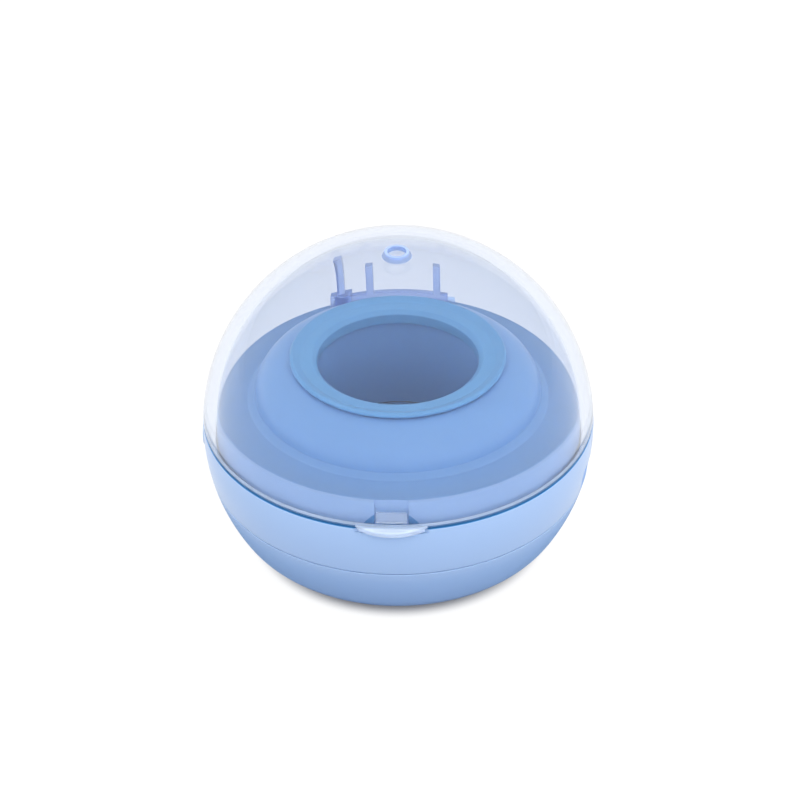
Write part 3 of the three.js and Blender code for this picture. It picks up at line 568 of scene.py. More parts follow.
band = Values(
    innerTop=41.3, shelfZ=-1.5, shelfDepth=1.7, shelfHeight=1.5, rimRound=0.3,
    lowRound=0.25, seamLine=1.1,
)
hinge = Values(knuckle=2.6, lidWidth=17.0, baseWidth=4.0, pin=0.9, lugDrop=9.4, boreHalf=20.0)
button = Values(
    radius=3.25, z=-3.6, proud=0.45, flange=4.3, flangeWall=1.0, stem=1.5,
    stemLength=2.0, bore=(-50.0, -39.0), room=(-41.25, -36.2), edgeDrop=0.15,
    dishOuter=2.1, dishInner=1.3, dishDepth=0.2,
)
inlet = Values(
    z=-6.9, width=7.5, height=2.8, margin=1.4, recess=1.0, turn=-11.0, corner=1.6,
    mouthCorner=0.7, mouthDepth=5.6, outside=50.0,
)
lip = Values(width=15.3, reach=2.2, bottom=1.8, top=3.2, front=((-20, -60, 0), (20, -30, 6)))
finger = Values(width=16.6, reach=2.2, bottom=1.2)


# Radius of an arc with this chord and this height above the chord
def arcRadius(chord, rise):
    return (chord * chord / 4 + rise * rise) / (2 * rise)


def lugOutline():
    wallY = ball.radius - ball.wall * 0.75
    seamZ = ball.seam
    knuckle = arc(hingeY, hingeZ, hinge.knuckle, -45, 207, 30)
    return [(wallY, seamZ), (wallY, seamZ - hinge.lugDrop)] + knuckle


# The turned body of the shell, with the shelf inside that the cradle stands on
def upperBand():
    radius = ball.radius
    inside = radius - ball.wall
    shelfBottom = band.shelfZ - band.shelfHeight
    shelfR = band.innerTop - band.shelfDepth
    lowAngle = heightAngle(ball.lowerSeam, radius)
    outer = arc(0, 0, radius, lowAngle, heightAngle(ball.seam, radius), 26)
    outer[0] = (*outer[0], band.lowRound)
    outer[-1] = (*outer[-1], band.rimRound)
    shelfAngle = heightAngle(shelfBottom - band.shelfDepth / 2, inside)
    inner = arc(0, 0, inside, shelfAngle, heightAngle(ball.lowerSeam, inside), 12)
    corners = outer + [
        (radius - band.seamLine, ball.seam),
        (band.innerTop, ball.seam, 0.2),
        (band.innerTop, band.shelfZ),
        (shelfR, band.shelfZ),
        (shelfR, shelfBottom),
    ] + inner
    return lathe("upperShell", soften(corners, 4), finishes["case"])


def addInlet(shell):
    faceX = math.sqrt(ball.radius ** 2 - inlet.z ** 2) - inlet.recess
    for margin, corner, low, high in (
        (inlet.margin, inlet.corner, faceX, inlet.outside),
        (ball.gap, inlet.mouthCorner, faceX - inlet.mouthDepth, faceX + 1),
    ):
        outline = roundedBox(inlet.width + 2 * margin, inlet.height + 2 * margin, corner)
        tool = prism("inletCut", [(a, b + inlet.z) for a, b in outline], "x", low, high)
        turnAbout(tool, inlet.turn)
        carve(shell, tool)


def makeUpperShell():
    shell = upperBand()
    gap = ball.gap
    halfLid = hinge.lidWidth / 2 + gap
    for side in (-1, 1):
        ends = sorted((side * halfLid, side * (halfLid + hinge.baseWidth)))
        carve(shell, prism("lug", lugOutline(), "x", *ends), "UNION")
    drill(shell, hingeY, hingeZ, hinge.knuckle + gap, "x", -halfLid, halfLid, facets.knuckle)
    drill(shell, hingeY, hingeZ, hinge.pin + gap, "x", -hinge.boreHalf, hinge.boreHalf)
    for radius, ends in ((button.radius, button.bore), (button.flange, button.room)):
        drill(shell, 0, button.z, radius + gap, "x", *ends, facets.bore)
    addInlet(shell)
    radius = ball.radius
    tipY = math.sqrt(radius ** 2 - finger.width ** 2 / 4)
    pocketR = arcRadius(finger.width, tipY - radius + finger.reach)
    pocketY = -radius + finger.reach - pocketR
    drill(shell, 0, pocketY, pocketR, "z", finger.bottom, ball.seam + 1, facets.recess)
    # painted shade: the rim face under the lid's edge is deep blue, for the shadowed seam gap
    paintLevel(shell, ball.seam, radius - band.seamLine, radius - 0.1, finishes["edge"])
    roundNormals(shell, [radius, radius - ball.wall])
    fit(shell, "base", "upper_shell", slot="case_blue")


# Inner cradle: collar, deck, mound and well in one moulding

cradle = Values(
    collar=41.0, collarTop=40.3, deckZ=8.0, wall=1.8, moundBase=32.6, shoulder=24.2,
    moundTop=16.9, wellTop=19.6, wellFloor=17.4, wellFloorZ=-8.1, flange=2.0,
    flangeWall=1.2, skirt=1.6, wellWall=1.5, notchWidth=7.2, notchR=39.8,
    bossZ=-11.2, boardZ=-8.3, narrowPost=2.6, holeTop=-3.4,
    lensWidth=18.4, lensHeight=2.9, lensR=40.55, outside=43.0,
    collarEdge=0.35, postInset=0.7,
)


def moundCurve(steps=26):
    points = [(cradle.moundBase + 1.0, cradle.deckZ, 0.9)]
    for r, z in arc(0, 0, 1, 2, 84, steps):
        points.append((
            cradle.shoulder - 2 + (cradle.moundBase - cradle.shoulder + 1.3) * r,
            cradle.deckZ + 0.7 + (cradle.moundTop - cradle.deckZ - 0.7) * z,
        ))
    return points


def cradleProfile():
    flangeR = cradle.wellFloor - cradle.flange
    skirtR = cradle.wellFloor + cradle.wellWall
    floorZ = cradle.wellFloorZ
    flangeZ = floorZ - cradle.flangeWall
    top = [
        (cradle.collar, band.shelfZ + ball.gap),
        (cradle.collar, ball.seam, 0.5),
        (cradle.collarTop + 0.05, cradle.deckZ - 0.5, 0.6),
        (cradle.collarTop - 0.5, cradle.deckZ, 0.5),
    ] + moundCurve()
    well = [
        (cradle.wellTop, cradle.moundTop, 0.4),
        (cradle.wellFloor, floorZ + 1.3),
        (cradle.wellFloor, floorZ),
        (flangeR, floorZ, 0.15),
        (flangeR, flangeZ, 0.15),
        (skirtR, flangeZ),
        (skirtR, flangeZ - cradle.skirt),
        (skirtR + cradle.wellWall, flangeZ - cradle.skirt),
        (cradle.wellTop + cradle.wellWall, cradle.moundTop - cradle.wall - 0.4),
    ]
    under = [(p[0] - cradle.wall * 0.8, p[1] - cradle.wall) for p in reversed(moundCurve(10))]
    edge = [
        (cradle.collarTop - cradle.wall + 0.7, cradle.deckZ - cradle.wall),
        (cradle.collar - cradle.wall, band.shelfZ + ball.gap),
    ]
    return soften(top + well + under + edge, 5)


# Painted shade: a deep blue lens on the collar, for the shadowed gap that shows through the lip
def addPaintedLipShade(piece):
    shade = cradle.lensWidth / 2
    turns = [math.pi * k / 40 for k in range(41)]
    lens = [(shade * math.cos(a), ball.seam + cradle.lensHeight * math.sin(a)) for a in turns]
    tool = prism("paintedLipShade", lens + [(-shade, 0), (shade, 0)], "y", -cradle.outside, -cradle.lensR)
    carve(piece, tool, finish=finishes["edge"])


def makeCradle():
    piece = lathe("innerCradle", cradleProfile(), finishes["cradle"], smoothAngle=30)
    half = cradle.notchWidth / 2
    notch = boxPiece("notch", (-half, -cradle.outside, ball.seam), (half, -cradle.notchR, cradle.deckZ + 1))
    # painted light: the notch takes the collar's lighter blue, which softens the shade in it
    carve(piece, notch, finish=finishes["collar"])
    room = button.flange + ball.gap
    drill(piece, 0, button.z, room, "x", -cradle.outside, button.room[1], facets.bore)
    addScrewBosses(piece)
    addPaintedLipShade(piece)

    # painted light: the collar's outward faces take a lighter blue than the rest of the moulding, where the
    # dome's shade falls on them
    def onCollar(spot, face):
        beside = math.hypot(spot.x, spot.y) > cradle.collarTop - cradle.collarEdge
        return beside and spot.z < cradle.deckZ - 0.05 and face.material_index == 0

    paintFaces(piece, finishes["collar"], onCollar)
    smoothOver(piece.data, 30)
    fit(piece, "base", "inner_cradle", slot="cradle_blue")


# Three posts under the deck that take the case screws
def addScrewBosses(piece):
    insideR = cradle.collar - cradle.wall
    bossZ = cradle.bossZ
    halfWall = cradle.wall / 2
    floorR = cradle.wellFloor
    inset = cradle.postInset
    topR = cradle.wellTop + inset
    under = [(p[0] - inset, p[1] - halfWall) for p in moundCurve(10)]
    room = [(0, bossZ), (insideR, bossZ), (insideR, cradle.deckZ - halfWall)] + under
    room += [(0, cradle.moundTop - halfWall)]
    far = 20.0  # above and below every post
    bore = [
        (0, -far), (floorR + 1 + inset, -far), (floorR + 1 + inset, cradle.wellFloorZ),
        (floorR + inset, cradle.wellFloorZ + 1), (topR, cradle.moundTop - 0.5), (topR, far), (0, far),
    ]
    for x, y in screwPlaces:
        post = prism("post", circle(x, y, screwSize.boss), "z", cradle.boardZ, cradle.moundTop)
        drill(post, x, y, cradle.narrowPost, "z", bossZ, cradle.boardZ + 1, operation="UNION")
        carve(post, lathe("room", room, segments=facets.hidden), "INTERSECT")
        carve(post, lathe("bore", bore, segments=facets.hidden))
        carve(piece, post, "UNION")
        drill(piece, x, y, screwHole, "z", bossZ - 1, cradle.holeTop)


seat = Values(outer=23.9, lip=1.2, skirtDepth=3.0, skirtWall=1.4, drop=0.8)


def makeSeatRing():
    skirtOuter = cradle.wellTop - ball.gap
    skirtInner = skirtOuter - seat.skirtWall
    baseZ = cradle.moundTop + ball.gap
    topZ = baseZ + seat.lip
    ledgeZ = topZ - seat.drop
    half = seat.lip / 2
    corners = [
        (skirtInner, baseZ - seat.skirtDepth, 0.3),
        (skirtOuter, baseZ - seat.skirtDepth, 0.3),
        (skirtOuter, baseZ),
        (seat.outer - 0.3, baseZ, 0.25),
    ] + arc(seat.outer - half, topZ - half, half, -20, 108, 14) + [
        (seat.outer - half - 1.7, ledgeZ + 0.05, 1.2),
        (skirtOuter - 0.4, ledgeZ - 0.05, 0.8),
        (skirtInner, ledgeZ - 0.9, 0.5),
    ]
    ring = lathe("seatRing", soften(corners, 6), finishes["seat"], smoothAngle=40)
    fit(ring, "base", "seat_ring", slot="seat_blue")


# Lamp at the foot of the well

lamp = Values(tube=1.6, bend=4.0, leg=16.0, z=-10.6)
dish = Values(
    rim=18.6, mouth=14.5, foot=11.5, rimZ=-9.6, depth=2.8, wall=0.5,
    socketRoom=((-13.2, -6.9, -15.0), (-9.0, 6.9, -8.0)),
)


def makeLampWindow():
    low = cradle.wellFloorZ + ball.gap
    radius = cradle.wellFloor - ball.gap
    corners = [(0, low), (radius, low, 0.15), (radius, low + 1, 0.15), (0, low + 1)]
    disc = lathe("lampWindow", soften(corners, 3), finishes["quartz"])
    fit(disc, "base", "lamp_window", slot="quartz")


def makeReflector():
    deep = dish.rimZ - dish.depth
    corners = [
        (0, deep - dish.wall),
        (dish.foot + 0.3, deep - dish.wall, 1),
        (dish.mouth + 0.2, dish.rimZ - dish.wall, 0.5),
        (dish.rim, dish.rimZ - dish.wall, 0.1),
        (dish.rim, dish.rimZ, 0.1),
        (dish.mouth, dish.rimZ, 0.6),
        (dish.foot, deep, 1.2),
        (0, deep),
    ]
    piece = lathe("lampReflector", soften(corners, 6), finishes["mirror"], segments=facets.hidden)
    carve(piece, boxPiece("socketRoom", *dish.socketRoom))
    smoothOver(piece.data, 50)
    fit(piece, "base", "lamp_reflector", slot="mirror_metal")


# Geometry Nodes: copies of a turned piece on points, and a round section swept along a line

# A tree and its named inputs
def newTree(name, sizes):
    tree = bpy.data.node_groups.new(name, "GeometryNodeTree")
    for side in ("INPUT", "OUTPUT"):
        tree.interface.new_socket("Geometry", in_out=side, socket_type="NodeSocketGeometry")
    for label, value in sizes.items():
        socket = tree.interface.new_socket(label, in_out="INPUT", socket_type="NodeSocketFloat")
        socket.default_value = value
    return tree, tree.nodes.new("NodeGroupInput").outputs


# Every tree ends in real meshes with their material
def endTree(tree, geometry, material):
    real = addNode(tree, "GeometryNodeRealizeInstances", {"Geometry": geometry}).outputs["Geometry"]
    paint = addNode(tree, "GeometryNodeSetMaterial", {"Geometry": real, "Material": material})
    addNode(tree, "NodeGroupOutput", {"Geometry": paint.outputs["Geometry"]})


# Sets a tree's named inputs on a piece and turns the result into a plain mesh
def runTree(target, tree, values):
    modifier = target.modifiers.new("build", "NODES")
    modifier.node_group = tree
    for item in tree.interface.items_tree:
        if item.in_out == "INPUT" and item.name in values:
            modifier[item.identifier] = values[item.name]
    bake(target)
    smoothOver(target.data, 35)


def cylinderNode(tree, radius, depth, sides):
    node = addNode(tree, "GeometryNodeMeshCylinder", {"Vertices": sides, "Radius": radius, "Depth": depth})
    return node.outputs["Mesh"]


# A cylinder that stands on the level of its point
def standingNode(tree, radius, depth, sides):
    lift = addNode(tree, "ShaderNodeCombineXYZ", {"Z": mathNode(tree, "MULTIPLY", depth, 0.5)})
    mesh = cylinderNode(tree, radius, depth, sides)
    move = addNode(tree, "GeometryNodeTransform", {"Geometry": mesh, "Translation": lift.outputs["Vector"]})
    return move.outputs["Geometry"]


def booleanNode(tree, operation, tools, target=None):
    node = addNode(tree, "GeometryNodeMeshBoolean", operation=operation, solver="EXACT")
    if target is not None:
        tree.links.new(target, node.inputs["Mesh 1"])
    for tool in tools:
        tree.links.new(tool, node.inputs["Mesh 2"])
    return node.outputs["Mesh"]


def onPoints(tree, given, piece):
    node = addNode(tree, "GeometryNodeInstanceOnPoints", {"Points": given["Geometry"], "Instance": piece})
    return node.outputs["Instances"]


def pointCloud(name, places, z):
    mesh = bpy.data.meshes.new(name)
    mesh.from_pydata([place(x, y, z) for x, y in places], [], [])
    return newObject(name, mesh)


# A pan-head screw: a head with a cross cut in it and a shank above
def screwTree():
    tree, given = newTree("panScrew", {
        "Head radius": 0.0024, "Head height": 0.0015, "Shank radius": 0.0012, "Shank length": 0.02,
        "Slot width": 0.0006, "Slot length": 0.003, "Slot depth": 0.0007,
    })
    head = standingNode(tree, given["Head radius"], given["Head height"], 40)
    shank = standingNode(tree, given["Shank radius"], given["Shank length"], 24)
    depth = mathNode(tree, "MULTIPLY", given["Slot depth"], 2.0)
    bars = []
    for long, short in (("X", "Y"), ("Y", "X")):
        size = addNode(tree, "ShaderNodeCombineXYZ", {
            long: given["Slot length"], short: given["Slot width"], "Z": depth,
        })
        bars.append(addNode(tree, "GeometryNodeMeshCube", {"Size": size.outputs["Vector"]}).outputs["Mesh"])
    screw = booleanNode(tree, "DIFFERENCE", bars, booleanNode(tree, "UNION", [head, shank]))
    endTree(tree, onPoints(tree, given, screw), finishes["steel"])
    return tree


def makeScrews():
    tree = screwTree()
    headLow = bowl.bottom + screwSize.recess - ball.gap - screwSize.headHeight
    screws = pointCloud("caseScrews", screwPlaces, headLow)
    runTree(screws, tree, {"Shank length": (screwSize.length - ball.gap) * mm})
    fit(screws, "base", "case_screw_1", "case_screw_2", "case_screw_3", slot="steel")
    small = pointCloud("coverScrew", [(0.0, cover.screwY)], bowl.bottom + ball.gap)
    runTree(small, tree, {"Head height": 0.0007, "Slot depth": 0.00035, "Shank length": 0.0094})
    fit(small, "base", "cover_screw", slot="steel")


# Four round pads, each with a shallow dish on its underside
def makeFeet():
    tree, given = newTree("roundPad", {
        "Radius": 0.0032, "Height": 0.0014, "Taper": 0.0003, "Dish radius": 0.0019, "Dish depth": 0.0002,
    })
    pad = addNode(tree, "GeometryNodeMeshCone", {
        "Vertices": 48,
        "Radius Top": given["Radius"],
        "Radius Bottom": mathNode(tree, "SUBTRACT", given["Radius"], given["Taper"]),
        "Depth": given["Height"],
    })
    hollow = cylinderNode(tree, given["Dish radius"], given["Dish depth"], 40)
    dished = booleanNode(tree, "DIFFERENCE", [hollow], pad.outputs["Mesh"])
    endTree(tree, onPoints(tree, given, dished), finishes["rubber"])
    feet = pointCloud("feet", footPlaces, bowl.bottom - footSize.proud)
    runTree(feet, tree, {})
    fit(feet, "base", "foot_1", "foot_2", "foot_3", "foot_4", slot="grey_rubber")


# A round section swept along a curve
def sweptNode(tree, curve, radius, sides):
    section = addNode(tree, "GeometryNodeCurvePrimitiveCircle", {"Resolution": sides, "Radius": radius})
    return addNode(tree, "GeometryNodeCurveToMesh", {
        "Fill Caps": True, "Curve": curve, "Profile Curve": section.outputs["Curve"],
    }).outputs["Mesh"]


# The bent tube, along a line of two legs and a half turn
def makeLampTube():
    tree, given = newTree("sweptTube", {"Tube radius": 0.0016})
    curve = addNode(tree, "GeometryNodeMeshToCurve", {"Mesh": given["Geometry"]}).outputs["Curve"]
    endTree(tree, sweptNode(tree, curve, given["Tube radius"], 24), finishes["lamp"])
    startX = -lamp.leg / 2 - 1
    turn = [(startX + lamp.leg + x, y) for x, y in arc(0, 0, lamp.bend, -90, 90, 28)]
    line = [(startX, -lamp.bend)] + turn + [(startX, lamp.bend)]
    mesh = bpy.data.meshes.new("uvLamp")
    steps = [(k, k + 1) for k in range(len(line) - 1)]
    mesh.from_pydata([place(x, y, lamp.z) for x, y in line], steps, [])
    tube = newObject("uvLamp", mesh)
    runTree(tube, tree, {"Tube radius": lamp.tube * mm})
    fit(tube, "base", "uv_lamp", slot="lamp_glass")


# Wound contact springs, wide at the plate and narrow at the cell
spring = Values(wire=0.25, turns=3.5, narrowing=0.7)


def makeSprings():
    tree, given = newTree("woundSpring", {
        "Turns": 3.5, "Wide radius": 0.003, "Narrow radius": 0.002, "Length": 0.002, "Wire radius": 0.00025,
    })
    wound = addNode(tree, "GeometryNodeCurveSpiral", {
        "Resolution": 28, "Rotations": given["Turns"], "Start Radius": given["Wide radius"],
        "End Radius": given["Narrow radius"], "Height": given["Length"],
    })
    endTree(tree, sweptNode(tree, wound.outputs["Curve"], given["Wire radius"], 12), finishes["steel"])
    for number in (1, 2, 3):
        low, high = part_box(f"contact_spring_{number}")
        wire = spring.wire * mm
        radius = (high.z - low.z) / 2 - wire
        piece = newObject(f"contactSpring{number}", bpy.data.meshes.new(f"contactSpring{number}"))
        runTree(piece, tree, {
            "Turns": spring.turns, "Wide radius": radius, "Narrow radius": radius * spring.narrowing,
            "Length": high.x - low.x - 2 * wire, "Wire radius": wire,
        })
        toward = 1 if abs(low.x) > abs(high.x) else -1
        plateX = low.x + wire if toward > 0 else high.x - wire
        foot = Matrix.Translation((plateX, (low.y + high.y) / 2, (low.z + high.z) / 2))
        piece.data.transform(foot @ Matrix.Rotation(toward * math.pi / 2, 4, "Y"))
        fit(piece, "base", f"contact_spring_{number}", slot="steel")


# Clear dome: the half ball with its ribs, raised ring, knuckle, lip and catch

dome = Values(
    apexR=3.2, apexTopR=2.7, apexBore=2.0, ribThickness=1.7, ribDepth=1.6, ribFoot=8.6,
    ribSpacing=8.0, shortRib=21.5, tallRib=28.5, tallRibX=-14.8, webHeight=1.7,
    webReach=2.6, catchWidth=6.6, catchHeight=2.4, catchDepth=0.6, rimLine=1.0,
    rimEase=4.4, slabFrom=20.0, slabTo=50.0,
)
magnet = Values(
    radius=1.5, height=2.0, y=36.0, footWidth=5.0, footDepth=5.0, footHeight=3.2, footBack=44.0,
)


# The part of a spherical layer that lies inside a tool
def shellSlice(name, outerR, innerR, tool):
    layer = sphereTool(name, outerR)
    carve(layer, sphereTool("core", innerR))
    return carve(layer, tool, "INTERSECT")


def domeSkin():
    radius = ball.radius
    inside = radius - ball.lidWall
    rimInside = radius - ball.lidRimWall
    edge = ball.lidEdge
    step = ball.rimStep
    inner = arc(0, 0, inside, 90, heightAngle(step, inside), 60)
    easeAngle = heightAngle(step - dome.rimEase, rimInside)
    rim = arc(0, 0, rimInside, easeAngle, heightAngle(edge, rimInside), 8)
    outer = arc(0, 0, radius, heightAngle(edge, radius), 90, 64)
    inner[0] = (0, inside)
    outer[-1] = (0, radius)
    inner[-1] = (*inner[-1], 1.2)
    rim[0] = (*rim[0], 1.2)
    rim[-1] = (*rim[-1], 0.2)
    outer[0] = (*outer[0], 0.15)
    line = [(radius - dome.rimLine, edge)]  # where the painted seam shade on the underside begins
    return lathe("lidDome", soften(inner + rim + line + outer, 4), finishes["clear"], segments=facets.dome)


def addApexRing(lid):
    radius = ball.radius
    top = radius + ball.apexRing
    ring = [
        (dome.apexBore, radius - 1),
        (dome.apexR + 0.3, radius - 1),
        (dome.apexR + 0.3, radius - 0.25),
        (dome.apexR, radius - 0.05, 0.15),
        (dome.apexTopR, top, 0.2),
        (dome.apexBore, top, 0.15),
    ]
    carve(lid, lathe("apexRing", soften(ring, 4), segments=facets.small), "UNION", finishes["rib"])


def addRibs(lid):
    inside = ball.radius - ball.lidWall
    middle = ball.radius - ball.lidWall / 2
    foot = dome.ribFoot
    side = dome.ribThickness / 2
    slabs = [
        (-dome.ribSpacing - side, -dome.ribSpacing + side, dome.shortRib),
        (dome.ribSpacing - side, dome.ribSpacing + side, dome.shortRib),
        (dome.tallRibX - side, dome.tallRibX + side, dome.tallRib),
        (dome.tallRibX, dome.ribSpacing + dome.webReach, foot + dome.webHeight),
    ]
    for low, high, topZ in slabs:
        slab = boxPiece("slab", (low, dome.slabFrom, foot), (high, dome.slabTo, topZ))
        carve(lid, shellSlice("rib", middle, inside - dome.ribDepth, slab), "UNION", finishes["rib"])
    side = magnet.footWidth / 2
    holder = boxPiece("magnetFoot", (dome.tallRibX - side, magnet.y - magnet.footDepth / 2, foot),
                      (dome.tallRibX + side, magnet.footBack, foot + magnet.footHeight))
    carve(holder, sphereTool("round", middle), "INTERSECT")
    carve(lid, holder, "UNION", finishes["rib"])


def addCatch(lid):
    rimInside = ball.radius - ball.lidRimWall
    half = dome.catchWidth / 2
    low = ball.lidEdge + ball.gap
    slab = boxPiece("slab", (-half, -dome.slabTo, low), (half, -dome.slabFrom, low + dome.catchHeight))
    bump = shellSlice("catch", rimInside + 1, rimInside - dome.catchDepth, slab)
    carve(lid, bump, "UNION", finishes["lip"])


# A lens seen from above: joined to the dome over the seam, free of the ring below it
def addLip(lid):
    radius = ball.radius
    reach = radius + lip.reach
    tipY = math.sqrt(radius ** 2 - lip.width ** 2 / 4)
    lensR = arcRadius(lip.width, reach - tipY)
    corners = [(0, lip.bottom), (lensR, lip.bottom, 0.35), (lensR, lip.top, 0.45), (0, lip.top)]
    piece = lathe("lip", soften(corners, 6), segments=facets.lip)
    piece.data.transform(Matrix.Translation((0, (lensR - reach) * mm, 0)))
    carve(piece, sphereTool("round", radius - ball.lidRimWall / 2))
    low = lip.bottom - 1
    clear = radius + ball.gap
    core = [(0, low), (clear, low), (clear, ball.lidEdge), (0, ball.lidEdge)]
    carve(piece, lathe("core", core, segments=facets.dome))
    carve(piece, boxPiece("front", *lip.front), "INTERSECT")
    carve(lid, piece, "UNION", finishes["lip"])


def makeLid():
    lid = domeSkin()
    addApexRing(lid)
    addRibs(lid)
    addCatch(lid)
    addLip(lid)
    gap = ball.gap
    halfKnuckle = hinge.lidWidth / 2
    farSide = halfKnuckle + hinge.baseWidth + 2 * gap
    drill(lid, hingeY, hingeZ, hinge.knuckle, "x", -halfKnuckle, halfKnuckle, facets.bore, "UNION")
    for low, high in ((-farSide, -halfKnuckle), (halfKnuckle, farSide)):
        drill(lid, hingeY, hingeZ, hinge.knuckle + gap, "x", low, high, facets.bore)
    drill(lid, hingeY, hingeZ, hinge.pin + gap, "x", -hinge.boreHalf, hinge.boreHalf)
    pocket = circle(dome.tallRibX, magnet.y, magnet.radius + gap)
    foot = dome.ribFoot
    tool = prism("pocket", pocket, "z", foot - 1, foot + magnet.height + 2 * gap)
    carve(lid, tool, finish=finishes["rib"])
    radius = ball.radius
    inside = radius - ball.lidWall
    rimInside = radius - ball.lidRimWall
    # painted shade: the flat underside is painted deep blue, so that it shows through the wall as the
    # shadowed line over the seam
    paintLevel(lid, ball.lidEdge, radius - dome.rimLine, radius + 0.1, finishes["edge"])
    # painted light: the rest of the underside is a light blue band in place of the shade in the gap behind
    # it
    paintLevel(lid, ball.lidEdge, rimInside - 0.2, radius - dome.rimLine, finishes["rim"])
    roundNormals(lid, [radius, inside, rimInside, inside - dome.ribDepth], 25)
    fit(lid, "lid", "lid_dome", slot="clear_dome")


def makeHingePin():
    length = 2 * (hinge.lidWidth / 2 + ball.gap + hinge.baseWidth - 0.2)
    radius = hinge.pin * mm
    bm = bmesh.new()
    bmesh.ops.create_cone(bm, cap_ends=True, segments=32, radius1=radius, radius2=radius, depth=length * mm)
    bmesh.ops.rotate(bm, cent=(0, 0, 0), matrix=Matrix.Rotation(math.pi / 2, 3, "Y"), verts=bm.verts)
    bmesh.ops.translate(bm, vec=place(0, hingeY, hingeZ), verts=bm.verts)
    rims = [e for e in bm.edges if abs(e.verts[0].co.x - e.verts[1].co.x) < tiny]
    bmesh.ops.bevel(bm, geom=rims, offset=0.0002, segments=3, affect="EDGES")
    pin = finishMesh("hingePin", bm, finishes["steel"], 40)
    fit(pin, "base", "hinge_pin", slot="steel")


# Power button: turned about the upright axis, then laid along X

def makeButton():
    roomEdge = abs(button.z) + button.flange
    flangeX = math.sqrt((ball.radius - ball.wall) ** 2 - roomEdge ** 2) - ball.gap
    backX = flangeX - button.flangeWall
    faceX = ball.radius + button.proud - button.edgeDrop
    profile = soften([
        (0, flangeX - button.stemLength), (button.stem, flangeX - button.stemLength),
        (button.stem, backX), (button.flange, backX),
        (button.flange, flangeX), (button.radius, flangeX),
        (button.radius, faceX - 0.22, 0.35), (button.dishOuter, faceX - 0.05, 0.6),
        (button.dishInner, faceX - 0.14, 0.5), (0, faceX - button.dishDepth),
    ], 6)
    piece = lathe("powerButton", profile, finishes["case"], segments=facets.small, smoothAngle=50)
    laid = Matrix.Translation(place(0, 0, button.z)) @ Matrix.Rotation(-math.pi / 2, 4, "Y")
    piece.data.transform(laid @ Matrix.Translation(-ballCentre))
    piece.data.update()
    fit(piece, "button", "power_button", slot="case_blue")


makeLowerShell()
makeBatteryCover()
print("lower shell and battery cover made")
makeUpperShell()
print("upper shell made")
makeCradle()
makeSeatRing()
print("cradle and seat ring made")
makeLampWindow()
makeReflector()
makeLampTube()
makeScrews()
makeFeet()
makeSprings()
print("lamp, screws, feet and springs made")
makeLid()
makeHingePin()
makeButton()
print("dome, hinge pin and button made")

# The pieces that keep their own solids and take a better finish
finishNodes = {
    "white": ("lamp_socket", "battery_holder"),
    "board": ("control_board",),
    "black": ("lamp_transformer", "capacitor", "driver_chip", "button_switch"),
    "lamp": ("status_led", "reed_switch"),
    "jacket": ("battery_1", "battery_2", "battery_3"),
    "steel": ("power_inlet", "contact_plate_left", "contact_plate_right", "lid_magnet"),
}
for finishName, nodeNames in finishNodes.items():
    for nodeName in nodeNames:
        materials = frame["nodes"][nodeName].data.materials
        materials.clear()
        materials.append(finishes[finishName])


# Stage, light and camera

studio = Values(
    # the greyer paper near the foot is a painted shadow, and its dark blue mirror colour a painted shade in
    # reflections
    floorSize=6.0, nearPaper=(0.50, 0.49, 0.49), farPaper=(0.10, 0.10, 0.10),
    nearLift=0.04, farLift=0.92, shadowFrom=0.0304, shadowTo=0.0352,
    mirrorReach=0.015, mirrorPaper=(0.20, 0.32, 0.50), bounceColour=(0.05, 0.12, 0.24),
    insideBounce=(0.85, 0.90, 0.98), insideGain=0.4, domeSky=(0.83, 0.88, 0.965),
    lowGain=0.5, skyLow=1.30, skyTop=1.12, glow=0.8, glowFocus=4.0,
    glowFrom=(0.16, -0.72, 0.67), sideGlow=1.15, sideFocus=3.0,
    keyPower=1.2, keySize=0.4, keyFrom=(0.25, -0.64, 0.62), paperGrain=900.0,
    skyRange=(-0.1, 0.9), horizon=(-0.15, -0.02),
)
shot = Values(
    azimuth=2.3, elevation=35.6, roll=-0.55, distance=16.0, outline=195.3,
    centre=(398.4, 419.7), picture=800, sensor=36, nearClip=0.01,
)


# A smooth step from one value to another over a range
def ramped(tree, source, low, high, toLow=0.0, toHigh=1.0):
    return addNode(tree, "ShaderNodeMapRange", {
        "From Min": low, "From Max": high, "To Min": toLow, "To Max": toHigh, "Value": source,
    }, interpolation_type="SMOOTHSTEP").outputs["Result"]


# One for rays that see the backdrop directly, in a mirror or through clear plastic
def throughRays(tree):
    path = tree.nodes.new("ShaderNodeLightPath").outputs
    total = mathNode(tree, "MAXIMUM", path["Is Camera Ray"], path["Is Glossy Ray"])
    total = mathNode(tree, "MAXIMUM", total, path["Is Transmission Ray"])
    # what lights the inside of the dome counts as light, not as view
    direct = mathNode(tree, "LESS_THAN", path["Diffuse Depth"], 0.5)
    return mathNode(tree, "MULTIPLY", total, direct)


# One for rays that have passed the clear dome
def domeRays(tree):
    path = tree.nodes.new("ShaderNodeLightPath").outputs
    return mathNode(tree, "GREATER_THAN", path["Transmission Depth"], 0.5)


# White, or the pale blue that shows through the dome
def seenColour(tree):
    return blend(tree, domeRays(tree), (1.0, 1.0, 1.0), studio.domeSky)
